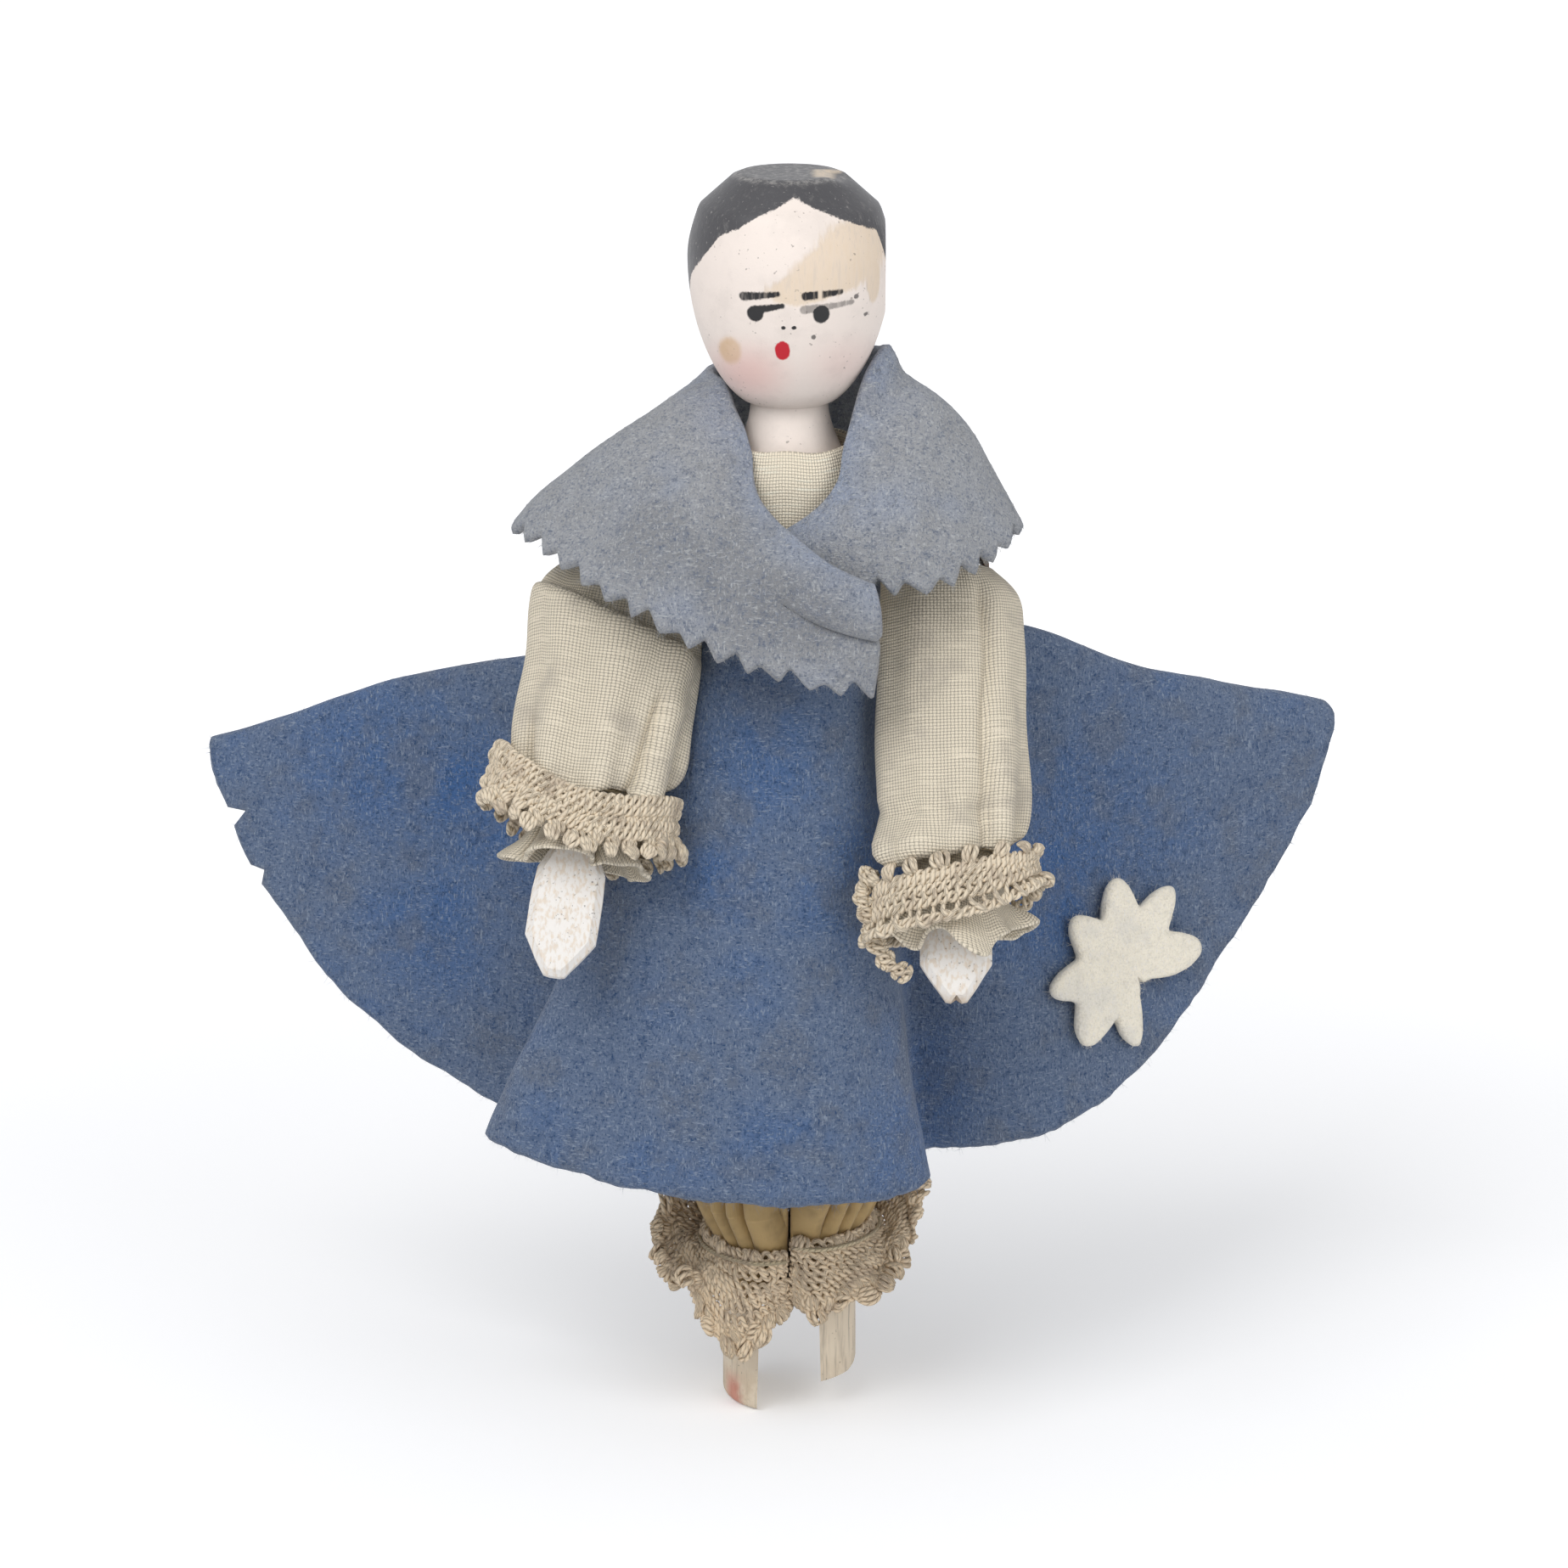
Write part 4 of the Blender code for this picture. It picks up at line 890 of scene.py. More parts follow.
def woven(name, colour, stain, pitch, open_weave):
    """Plain weave: threads over and under one another, uneven, with stains and painted shade where the threads dip and
    between them.
    """
    f = Finish(name)
    here = f.place()
    along, down = f.flat()
    wobble = f.cloud(here, 1.6, 2.0)
    drift = f.cloud(here, 3.1, 2.0)
    u = (along + 0.5 * pitch * (wobble - 0.5)) / pitch
    v = (down + 0.5 * pitch * (drift - 0.5)) / pitch
    warp = abs(u.math("SINE", u * math.pi))
    weft = abs(v.math("SINE", v * math.pi))
    cell = u.math("FLOOR", u) + v.math("FLOOR", v)
    over = cell.math("FLOORED_MODULO", cell, 2.0)
    height = over * warp * (0.45 + 0.55 * weft) + (1.0 - over) * weft * (0.45 + 0.55 * warp)
    slub = f.cloud(f.node("ShaderNodeCombineXYZ", None, {0: u * 0.08, 1: v * 1.1}), 1.0, 1.0)
    gap = (1.0 - warp) * (1.0 - weft)
    # Painted shade in the weave: threads darker where they dip under, and darker still in the open gaps between them.
    dark = toned(colour, 0.46)
    cloth_colour = f.mix(dark, colour, f.smooth(height, 0.02, 0.6))
    cloth_colour = f.mix(cloth_colour, dark, gap * open_weave)
    pale = toned(colour, 1.2)
    cloth_colour = f.mix(cloth_colour, pale, f.smooth(slub, 0.55, 0.75) * 0.5)
    blotch = f.smooth(f.cloud(here, 4.6, 3.0, 0.6), 0.5, 0.75)
    cloth_colour = f.mix(cloth_colour, stain, blotch * 0.45)
    relief = height + 0.4 * slub
    f.feed({"Roughness": 0.92, "Specular IOR Level": 0.15, "Sheen Weight": 0.08})
    return f.feed({"Base Color": cloth_colour, "Normal": f.bump(relief, 0.11, 0.8)})


def spun(name, colour, dirt, ply):
    """Two-ply cotton yarn: a twist along each strand with painted shade in its grooves, and patches of dirt."""
    f = Finish(name)
    here = f.place()
    round_turn, run = f.flat()
    twist = round_turn * 2.0 + run / ply
    strand = abs(twist.math("SINE", twist * math.pi))
    fluff = f.cloud(here, 0.16, 2.0)
    soil = f.cloud(here, 1.9, 3.0, 0.6)
    # Painted shade in the grooves of the twist.
    shade = toned(colour, 0.6)
    yarn = f.mix(shade, colour, f.smooth(strand, 0.05, 0.55))
    yarn = f.mix(yarn, dirt, f.smooth(soil, 0.45, 0.75) * 0.6)
    f.feed({"Roughness": 0.9, "Specular IOR Level": 0.15, "Sheen Weight": 0.1})
    return f.feed({"Base Color": yarn, "Normal": f.bump(strand + 0.5 * fluff, 0.12, 0.8)})


def satin(name, colour):
    """Fine sateen with a faint sheen, browned in patches."""
    f = Finish(name)
    here = f.place()
    along, down = f.flat()
    float_yarn = f.cloud(f.node("ShaderNodeCombineXYZ", None, {0: along * 9.0, 1: down * 1.4}), 1.0, 2.0)
    soil = f.cloud(here, 3.0, 3.0, 0.6)
    dark = toned(colour, 0.6)
    tone = f.mix(colour, dark, f.smooth(soil, 0.45, 0.72) * 0.7 + f.smooth(float_yarn, 0.55, 0.75) * 0.2)
    f.feed({"Roughness": 0.55, "Specular IOR Level": 0.3, "Sheen Weight": 0.2})
    return f.feed({"Base Color": tone, "Normal": f.bump(float_yarn, 0.05, 0.6)})


# Clothes peg
def peg_profile(peg):
    """The turned outline from the crown to the feet: radius and height."""
    widest = peg.peg_length - peg.head_widest
    neck = peg.peg_length - peg.head_height
    brow = peg.peg_length - peg.crown_slope
    # The crown's edge is worn round: where its flat ends, and what the edge has lost.
    flat, edge = 0.35, 0.1
    profile = [(r, peg.peg_length) for r in np.linspace(0, peg.crown_radius - flat, 8)]
    profile.append((peg.crown_radius - edge, peg.peg_length - edge))
    for step in np.linspace(0.1, 0.97, 8):
        profile.append((peg.crown_radius + (peg.brow_radius - peg.crown_radius) * step,
                        peg.peg_length - peg.crown_slope * step))
    for step in np.linspace(0.06, 1.0, 14):
        profile.append((peg.brow_radius + (peg.head_radius - peg.brow_radius) * math.sin(step * math.pi / 2),
                        brow + (widest - brow) * step))
    for drop in np.linspace(0.02, 1.0, 44):
        profile.append((peg.neck_radius + (peg.head_radius - peg.neck_radius) * (1 - drop ** 2) ** 0.68,
                        widest + (neck - widest) * drop))
    for drop in np.linspace(0.04, 1.0, 16):
        profile.append((peg.neck_radius + (peg.shaft_radius - peg.neck_radius) * drop * drop * (3 - 2 * drop),
                        neck - peg.neck_flare * drop))
    base = neck - peg.neck_flare
    profile += [(peg.shaft_radius, height) for height in np.linspace(base - 1.5, peg.foot_round, 40)]
    for a in np.linspace(0.3, math.pi / 2, 5):
        profile.append((peg.shaft_radius - peg.foot_round * (1 - math.cos(a)), peg.foot_round * (1 - math.sin(a))))
    profile += [(r, 0) for r in (3.5, 1.5, 0)]
    return np.array(profile)


def slot_half_width(peg, height):
    """Half width of the slot, which widens towards the feet."""
    return 0.5 * (peg.slot_foot + (peg.slot_top - peg.slot_foot) * height / peg.slot_height)


def prism(name, outline, depth):
    """A cutter: an outline of (x, z) points run through along Y."""
    total = len(outline)
    points = [(x, -depth, z) for x, z in outline] + [(x, depth, z) for x, z in outline]
    faces = [tuple(range(total)), tuple(range(2 * total - 1, total - 1, -1))]
    faces += [(j, (j + 1) % total, (j + 1) % total + total, j + total) for j in range(total)]
    return add_mesh(name, points, faces)


def cut_away(obj, cutters):
    """Cut shapes out of a mesh for good."""
    for tool in cutters:
        boolean = obj.modifiers.new("cut", "BOOLEAN")
        boolean.operation = "DIFFERENCE"
        boolean.object = tool
    evaluated = obj.evaluated_get(bpy.context.evaluated_depsgraph_get())
    mesh = bpy.data.meshes.new_from_object(evaluated)
    obj.modifiers.clear()
    obj.data = mesh
    mesh.shade_smooth()
    mesh.set_sharp_from_angle(angle=math.radians(50))
    for tool in cutters:
        bpy.data.objects.remove(tool, do_unlink=True)


def make_peg(settings):
    """The turned peg, with a worn flat and a chip on its head, its slot and one short prong."""
    peg = read(settings.peg)
    profile = peg_profile(peg)
    around = 144
    azimuth = np.linspace(0, 360, around, endpoint=False)
    inner = profile[1:-1]
    x, y = polar(inner[:, 0][:, None], azimuth[None])
    grid = np.stack([x, y, np.broadcast_to(inner[:, 1][:, None], x.shape)], axis=-1)
    grid = grid * (1 + np.array([1, 1, 0]) * 0.004 * ripple(grid, 7.0, 3)[..., None])
    head = grid[..., 2] > peg.peg_length - peg.head_height
    grid[..., 0] -= np.maximum(grid[..., 0] - peg.worn_flat, 0) * head
    chip = ease(grid[..., 0], 2.6, 4.6) * ease(grid[..., 2], peg.peg_length - 0.9, peg.peg_length)
    grid[..., 2] -= 0.3 * chip * ease(-np.abs(grid[..., 1] + 1.0), -2.4, -0.8)
    rows = len(inner)
    index = 1 + np.arange(rows * around).reshape(rows, around)
    after = np.roll(index, -1, axis=1)
    faces = np.stack([index[:-1], index[1:], after[1:], after[:-1]], axis=-1).reshape(-1, 4).tolist()
    last = 1 + rows * around
    faces += [(0, int(a), int(b)) for a, b in zip(index[0], after[0])]
    faces += [(last, int(b), int(a)) for a, b in zip(index[-1], after[-1])]
    points = np.concatenate([[(0, 0, peg.peg_length)], grid.reshape(-1, 3), [(0, 0, 0)]])
    finish = painted_peg(read(settings.colours), peg)
    obj = add_piece("turned_peg", (points, faces), finish, "doll", "painted_peg", "clothes_peg")
    crotch = peg.slot_top / 2
    foot = slot_half_width(peg, -1)
    slot = [(foot, -1), (crotch, peg.slot_height)]
    slot += [(crotch * math.cos(a), peg.slot_height + crotch * math.sin(a)) for a in np.linspace(0.3, 2.84, 7)]
    slot += [(-crotch, peg.slot_height), (-foot, -1)]
    deep = 4 * peg.shaft_radius
    # The worn end of the short prong: distance out from the shaft, and up.
    edge = [(4.0, 4.0), (0.15, 0.9), (-0.15, 0.3), (-0.65, 0.0)]
    trim = [(0, -1), (deep, -1)] + [(peg.shaft_radius + out, peg.short_prong + up) for out, up in edge]
    trim.append((0, peg.short_prong - 0.25))
    cut_away(obj, [prism("slot", slot, deep), prism("worn_prong", trim, deep)])


# Arms
class Arm:
    """One arm's frame: down along the stick, across it and out of its front face, from its pivot."""

    def __init__(self, name, side, arm, peg):
        # Sizes named for this side, such as right_wrist, become the arm's own.
        own = {key.split("_", 1)[1]: value for key, value in vars(arm).items() if key.startswith(name + "_")}
        self.lace_drop = self.lace_narrow = 0.0
        vars(self).update(own)
        self.name = name
        self.side = side
        self.body = name + "_arm"
        self.size = arm
        turned = self.spread * side
        straight = np.array([0, -math.sin(arm.lean), -math.cos(arm.lean)])
        level = np.array([1.0, 0, 0])
        self.pivot = np.array([side * arm.shoulder_reach, 0, peg.peg_length - arm.shoulder_drop])
        self.down = math.cos(turned) * straight + math.sin(turned) * level
        self.across = math.cos(turned) * level - math.sin(turned) * straight
        self.front = np.array([0, -math.cos(arm.lean), math.sin(arm.lean)])

    def place(self, down, across, front):
        """Points at distances down the arm, across it and to its front."""
        offset = np.multiply.outer(down, self.down) + np.multiply.outer(across, self.across)
        return self.pivot + offset + np.multiply.outer(front, self.front)


def both_arms(settings):
    arm = read(settings.arm)
    peg = read(settings.peg)
    return [Arm("right", -1, arm, peg), Arm("left", 1, arm, peg)]


def make_arm_stick(arm, finish):
    """A whittled stick and hand: a wavering outline with bevelled edges, and a notch in the left fingertip."""
    s = arm.size
    hand = arm.length - s.hand_length
    # Distance down the arm and half width, from above the wire to the fingertip.
    keys = [(-s.stick_head, 0.55 * s.stick_half), (-0.6 * s.stick_head, 0.9 * s.stick_half),
            (0.3 * s.stick_head, s.stick_half), (0.5 * hand, s.stick_half), (hand - s.stick_half, s.stick_half),
            (hand, s.hand_half - 0.1), (hand + 2.0, s.hand_half), (arm.length - s.hand_tip, s.hand_half - 0.05),
            (arm.length - 0.45 * s.hand_tip, 0.62 * s.hand_half), (arm.length - 0.1, s.hand_tip_half),
            (arm.length, 0.5 * s.hand_tip_half)]
    down = np.concatenate([np.linspace(a[0], b[0], 7)[:-1] for a, b in zip(keys, keys[1:])] + [[keys[-1][0]]])
    half = np.interp(down, [k[0] for k in keys], [k[1] for k in keys])
    notch = 0.9 if arm.side > 0 else 0.0
    ring_down = np.concatenate([down, [arm.length - notch], down[::-1]])
    ring_across = np.concatenate([half, [0.0], -half[::-1]])
    wander = ripple(np.stack([ring_down, 3 * ring_across, np.zeros_like(ring_down)], axis=1), 5.0, 40 + arm.side)
    ring_across = ring_across * (1 + 0.035 * wander)
    layers = []
    thick = s.stick_thick / 2
    for front, inset in ((-thick, 0.5), (-0.55 * thick, 0.0), (0.35 * thick, 0.0), (0.97 * thick, 0.62), (thick, 0.85)):
        shrink = np.maximum(np.abs(ring_across) - inset, 0.0) * np.sign(ring_across)
        pulled = np.clip(ring_down, -s.stick_head + 0.5 * inset, arm.length - 0.8 * inset)
        layers.append(arm.place(pulled, shrink, np.full(len(shrink), front)))
    points = np.array(layers)
    points = points + 0.04 * ripple(points, 1.7, 8)[..., None] * arm.front
    total = len(ring_down)
    index = np.arange(points.shape[0] * total).reshape(-1, total)
    faces = ring_faces(index).tolist()
    size = len(down)
    for layer in (index[0], index[-1]):
        left = layer[:size]
        right = layer[size + 1:][::-1]
        faces += [(int(left[i]), int(left[i + 1]), int(right[i + 1]), int(right[i])) for i in range(size - 1)]
        faces.append((int(left[-1]), int(layer[size]), int(right[-1])))
    shape = (points.reshape(-1, 3), faces)
    obj = add_piece(arm.name + "_arm_and_hand", shape, finish, arm.body, "painted_arm", arm.name + "_arm_stick")
    obj.data.set_sharp_from_angle(angle=math.radians(24))


def sleeve_sections(arm):
    """Rows of distance down the arm, half widths inside and outside, depths to front and back, pleat share."""
    s = arm.size
    wrist = arm.wrist
    inner, outer = arm.puff_in, arm.puff_out
    neat = s.wrist_half + 0.7 * s.wrist_flare
    loose = s.wrist_half + s.wrist_flare
    hem = 0.7 * s.ruffle_half
    full_in, full_out = max(s.sleeve_top_in, 0.86 * inner), max(s.sleeve_top_out, 0.86 * outer)
    slim = outer if arm.side > 0 else 0.93 * outer
    return [
        (arm.sleeve_top, full_in, 0.66 * full_out, s.sleeve_top_front, s.puff_back, 0.0),
        (0.15 * wrist, 0.93 * inner, 0.92 * outer, 0.8 * s.puff_front, s.puff_back, 0.01),
        (0.3 * wrist, 0.96 * inner, 0.98 * outer, 0.9 * s.puff_front, s.puff_back, 0.02),
        (0.66 * wrist, inner, slim, s.puff_front, s.puff_back, 0.03),
        (wrist - 0.7 * s.wrist_gather, 0.9 * inner, 0.93 * slim, 0.9 * s.puff_front, s.puff_back, 0.06),
        (wrist - s.wrist_flat, neat, neat, s.wrist_depth + 0.3 * s.wrist_flare, s.wrist_depth, 0.0),
        (wrist, s.wrist_half, s.wrist_half, s.wrist_depth, s.wrist_depth, 0.0),
        (wrist + 1.5 * s.wrist_flat, loose, loose, s.wrist_depth + s.wrist_flare, s.wrist_depth, 0.0),
        (wrist + 0.64 * s.ruffle_length, hem, hem, 0.75 * s.ruffle_front, s.wrist_depth, 0.0),
        (wrist + s.ruffle_length, s.ruffle_half, s.ruffle_half, s.ruffle_front, s.wrist_depth, 0.05),
    ]


def oval_ring(arm, section, columns, grow=0.0):
    """One ring round the arm: a flat oval, deeper at the front, with pleats."""
    down, inner, outer, front, back, pleat = section
    angle = circle(columns)
    wave = 1 + pleat * np.cos(arm.size.pleats * angle)
    half_width = np.where(arm.side * np.cos(angle) > 0, outer, inner)
    across = (half_width + grow) * np.cos(angle) * wave
    depth = np.where(np.sin(angle) > 0, front + grow, back + grow) * np.sin(angle) * wave
    return arm.place(np.full(columns, down), across, depth)


def sleeve_folds(arm, down, angle):
    """How far the muslin stands out from its plain sleeve: gathers over the wrist, creases and a soft sag."""
    rng = np.random.default_rng(60 + arm.side)
    gather = ease(down, 0.45 * arm.wrist, arm.wrist - 2.2) * ease(-down, -arm.wrist + 0.4, -arm.wrist + 1.6)
    folds = np.zeros_like(angle)
    for turn_at in circle(8) + rng.uniform(-0.25, 0.25, 8):
        wide = rng.uniform(0.16, 0.3)
        apart = np.abs((angle - turn_at + math.pi) % (2 * math.pi) - math.pi)
        folds = folds + rng.uniform(0.6, 1.2) * bell(apart, 0, wide)
    relief = gather * (0.55 * folds - 0.3)
    hem = ease(down, arm.wrist + 4.0, arm.wrist + arm.size.ruffle_length)
    relief = relief + hem * (0.7 + 0.3 * arm.side) * np.cos(4.0 * angle + 0.7 * arm.side)
    loose = ease(down, 2.0, 6.0) * ease(-down, -arm.wrist + 0.4, -arm.wrist + 3.0)
    soft = ripple(np.stack([down, 5.0 * np.cos(angle), 5.0 * np.sin(angle)], axis=-1), 8.0, 70 + arm.side)
    relief = relief + loose * 0.35 * soft
    up = arm.wrist - down
    # The left sleeve has a long pleat, a crease over its cuff and a bulge towards the body; the right one has a fold
    # that slants across its front, and sharp creases low down.
    if arm.side > 0:
        pleat = angle - math.radians(65) - 0.05 * np.sin(0.5 * down)
        relief = relief - loose * 0.55 * bell(pleat, 0, 0.085) + loose * 0.35 * bell(pleat, -0.24, 0.15)
        crease = bell(up, 4.0, 0.4) * np.clip(np.sin(angle - 0.5), 0, 1)
        bulge = bell(up, 2.8, 1.1) * bell(angle, 2.5, 0.8)
        relief = relief - loose * 0.8 * crease + bulge
    else:
        below = down - 5.9 - 2.2 * np.cos(angle)
        fold = np.tanh(below / 0.25) * bell(np.maximum(below, 0), 0, 6.0)
        relief = relief + np.clip(1.6 * np.sin(angle), 0, 1) * (1.05 * fold - 0.1)
        low = ease(down, arm.wrist - 10.0, arm.wrist - 6.5)
        relief = relief + low * (0.8 * bell(angle, 0.6, 0.28) - bell(angle, 1.0 - 0.02 * up, 0.07))
        relief = relief - ease(down, arm.wrist - 7.0, arm.wrist - 3.0) * 0.7 * bell(angle, 2.5, 0.09)
    return relief


def sleeve_sag(arm, down, angle):
    """How far the muslin hangs down: over the cuff lace above the wrist, and in lobes at its hem."""
    wrist = arm.wrist
    window = ease(down, wrist - 6.0, wrist - 2.4) * ease(-down, -wrist + 0.9, -wrist + 1.9)
    hem = ease(down, wrist + 3.5, wrist + arm.size.ruffle_length)
    if arm.side > 0:
        lobes = 2.6 * ease(np.sin(angle), -0.3, 0.5) - 0.8 * np.cos(angle)
        ruffle = 1.9 * bell(angle, 2.35, 0.33) + 3.6 * bell(angle, 1.3, 0.36) - 0.8
        ruffle = ruffle + np.clip(-np.sin(angle), 0, 1)
    else:
        lobes = 1.7 * bell(angle, 1.75, 0.42) + 1.5 * bell(angle, 0.55, 0.35) + 1.7 * ease(np.sin(angle), 0.0, 0.5)
        ruffle = 0.4 * np.cos(2 * angle) - 0.8
    return window * lobes + hem * ruffle


def make_sleeve(arm, finish):
    """A muslin tube, gathered at the wrist and hanging over its cuff."""
    rows, columns = 96, 160
    sections = spline(sleeve_sections(arm), rows, closed=False)
    grid = np.array([oval_ring(arm, section, columns) for section in sections])
    angle = np.broadcast_to(circle(columns), (rows, columns))
    down = np.broadcast_to(sections[:, 0][:, None], (rows, columns))
    normals = grid_normals(grid, closed=True)
    outward = np.sign(((grid - grid.mean(axis=1, keepdims=True)) * normals).sum(axis=-1, keepdims=True).mean())
    grid = grid + outward * normals * sleeve_folds(arm, down, angle)[..., None]
    grid = grid + np.multiply.outer(sleeve_sag(arm, down, angle), arm.down)
    width = 2 * math.pi * 0.5 * ((arm.puff_in + arm.puff_out) / 2 + arm.size.puff_front)
    shape = cloth(grid, THIN * arm.size.muslin, True, flat_grid(grid, width))
    obj = add_piece(arm.name + "_muslin_sleeve", shape, finish, arm.body, "muslin", arm.name + "_sleeve")
    edge = row_lengths(grid, closed=True)


def make_wrist_thread(arm, finish):
    """Three turns of thread round the wrist."""
    s = arm.size
    ring = oval_ring(arm, sleeve_sections(arm)[6], 40, s.muslin / 2 + s.fit_gap + 0.6 * s.thread_radius)
    path = np.concatenate([ring, ring, ring, ring[:6]])
    climb = np.linspace(-1.2, 1.2, len(path)) * s.thread_radius
    path = path + np.multiply.outer(climb, arm.down)
    add_yarn(arm.name + "_wrist_tie", [path], 0.6 * s.thread_radius, finish, arm.body, "thread",
             arm.name + "_wrist_thread")


# Crochet
# Radius of the yarn.
YARN = 0.22

# Loose end of the left cuff lace: distance below the wrist and across from the arm.
LACE_TAIL = [
    (1.6, -7.0),
    (3.0, -7.7),
    (4.3, -7.7),
    (6.1, -7.1),
    (7.6, -6.7),
    (9.4, -5.7),
    (10.6, -3.9),
]


class Band:
    """A strip of crochet on a surface: turns shares along and across and a height into points."""

    def __init__(self, grid, closed):
        normals = grid_normals(grid, closed)
        outward = ((grid - grid.mean(axis=(0, 1))) * normals).sum()
        self.grid = grid
        self.normals = normals if outward > 0 else -normals
        self.closed = closed
        self.lengths = row_lengths(grid, closed)
        self.width = column_lengths(grid).mean()

    def at(self, along, across, height):
        """Points at shares along and across the band, standing out by a height."""
        along, across, height = np.broadcast_arrays(along, across, height)
        rows, columns = self.grid.shape[:2]
        if self.closed:
            s = (along % 1.0) * columns
            j = s.astype(int) % columns
            k = (j + 1) % columns
        else:
            s = np.clip(along, 0, 1) * (columns - 1)
            j = np.minimum(s.astype(int), columns - 2)
            k = j + 1
        f = (s - np.floor(s) if self.closed else s - j)[:, None]
        t = across * (rows - 1)
        i = np.clip(t.astype(int), 0, rows - 2)
        g = (t - i)[:, None]

        def pick(field):
            upper = field[i, j] * (1 - f) + field[i, k] * f
            lower = field[i + 1, j] * (1 - f) + field[i + 1, k] * f
            return upper * (1 - g) + lower * g

        return pick(self.grid) + height[:, None] * unit(pick(self.normals))

    def run(self, across):
        """Length of the band at a share across it."""
        return float(np.interp(across, np.linspace(0, 1, len(self.lengths)), self.lengths))

    def stops(self, pitch, across=0.5):
        """Shares along the band at which stitches of a pitch stand."""
        total = max(3, int(round(self.run(across) / pitch)))
        return (np.arange(total) + 0.5) / total


def chain(band, across, pitch, size, height):
    """A row of chain stitches: two strands that cross over and under each other."""
    total = max(3, int(round(band.run(across) / pitch)))
    phase = np.linspace(0, 2 * math.pi * total, 10 * total + 1)
    along = phase / (2 * math.pi * total)
    paths = []
    for way in (-1, 1):
        swing = way * size * np.sin(phase) / band.width
        paths.append(band.at(along, across + swing, height + way * 0.45 * size * np.cos(phase)))
    return paths


def posts(band, first, last, pitch, height, rng):
    """Upright stitches between two rows, with open gaps between them."""
    paths = []
    for stop in band.stops(pitch, last):
        t = np.linspace(first, last, 7)
        lean = rng.normal() * 0.18 * np.linspace(-1, 1, 7) / band.run(first)
        rise = height * np.sin(np.linspace(0.3, math.pi - 0.3, 7)) + 0.05 * rng.normal()
        paths.append(band.at(stop + lean, t, rise))
    return paths


def puff(band, stop, across, height, size, rng):
    """A bobble: four loops of yarn side by side, bulging out and pulled together at both ends."""
    slant = rng.normal() * 0.5
    paths = []
    for lane in (-1.5, -0.5, 0.5, 1.5):
        t = np.linspace(0, 1, 9)
        belly = np.sin(math.pi * t)
        run = size * (2 * t - 1)
        side = 0.36 * size * lane * (0.45 + 0.75 * belly) + 0.06 * rng.normal()
        along = stop + (side * math.cos(slant) - run * math.sin(slant)) / band.run(across)
        down = across + (run * math.cos(slant) + side * math.sin(slant)) / band.width
        bulge = size * (1.0 - 0.12 * lane ** 2) * belly * rng.uniform(0.85, 1.1)
        paths.append(band.at(along, down, height + bulge - 0.1))
    return paths


def picot(band, stop, edge, out, rng):
    """A pointed loop standing out from an edge of the band, with its yarn twisted."""
    t = np.linspace(0, 1, 16)
    sway = 0.25 * rng.normal()
    along = stop + (0.5 * np.cos(math.pi * t) + sway * np.sin(math.pi * t)) / band.run(edge)
    way = 1 if edge > 0.5 else -1
    reach = way * out * rng.uniform(0.75, 1.15) * np.sin(math.pi * t) ** 0.7
    lift = 0.2 + 0.35 * np.sin(2 * math.pi * t) + 0.15 * rng.normal()
    return band.at(along, edge + reach / band.width, lift)


def cuff_grid(arm):
    """The loose oval that the cuff lace follows, pushed up at its ends."""
    s = arm.size
    fine = spline(sleeve_sections(arm), 200, closed=False)
    columns = 120
    end = np.cos(circle(columns))
    seat = s.muslin / 2 + s.fit_gap + s.lace_ease + s.lace / 2
    top = arm.wrist + 2 * s.thread_radius + s.fit_gap + s.lace_scallop
    narrow = arm.lace_narrow * np.clip(end, 0, 1) ** 2
    rows = []
    for part in np.linspace(0, 1, 14):
        down = top + part * (s.lace_width - s.lace_scallop)
        inner, outer, front, back, pleat = [float(np.interp(down, fine[:, 0], fine[:, c])) for c in range(1, 6)]
        section = (down, inner + seat + arm.lace_flare, outer + seat + arm.lace_flare, front + seat + s.lace_front,
                   back + seat, pleat)
        shift = arm.lace_drop - arm.lace_bow * end ** 2 - arm.lace_slant * end - part * narrow
        rows.append(oval_ring(arm, section, columns) + np.multiply.outer(shift, arm.down))
    return np.array(rows)


def make_right_cuff(arm, finish):
    """A dense band: rows of chain with upright stitches between them, sunken bobbles, and a hem of bobbles."""
    grid = cuff_grid(arm)
    band = Band(grid + 0.4 * ripple(grid, 2.4, 33)[..., None] * grid_normals(grid, closed=True), closed=True)
    rng = np.random.default_rng(21)
    paths = []
    rows = (0.0, 0.16, 0.32, 0.48, 0.64)
    for across in rows:
        paths += chain(band, across, 1.15, 0.36, 0.25 + 0.06 * rng.normal())
    for first, last in zip(rows[:-1], rows[1:]):
        paths += posts(band, first, last, 0.66, 0.3, rng)
    # Rows of bobbles: share across the band, pitch, size and height.
    bobbles = [(0.07, 2.2, 0.62, -0.2), (0.4, 2.2, 0.62, -0.2), (0.76, 1.4, 0.7, -0.15), (0.95, 1.4, 0.66, -0.1)]
    for across, pitch, size, height in bobbles:
        for stop in band.stops(pitch):
            place = stop + (across * pitch + 0.15 * rng.normal()) / band.run(across)
            paths += puff(band, place, across + 0.03 * rng.normal(), height + 0.1 * rng.normal(), size, rng)
    add_yarn(arm.name + "_crochet_cuff", paths, YARN, finish, arm.body, "lace", arm.name + "_cuff_lace")


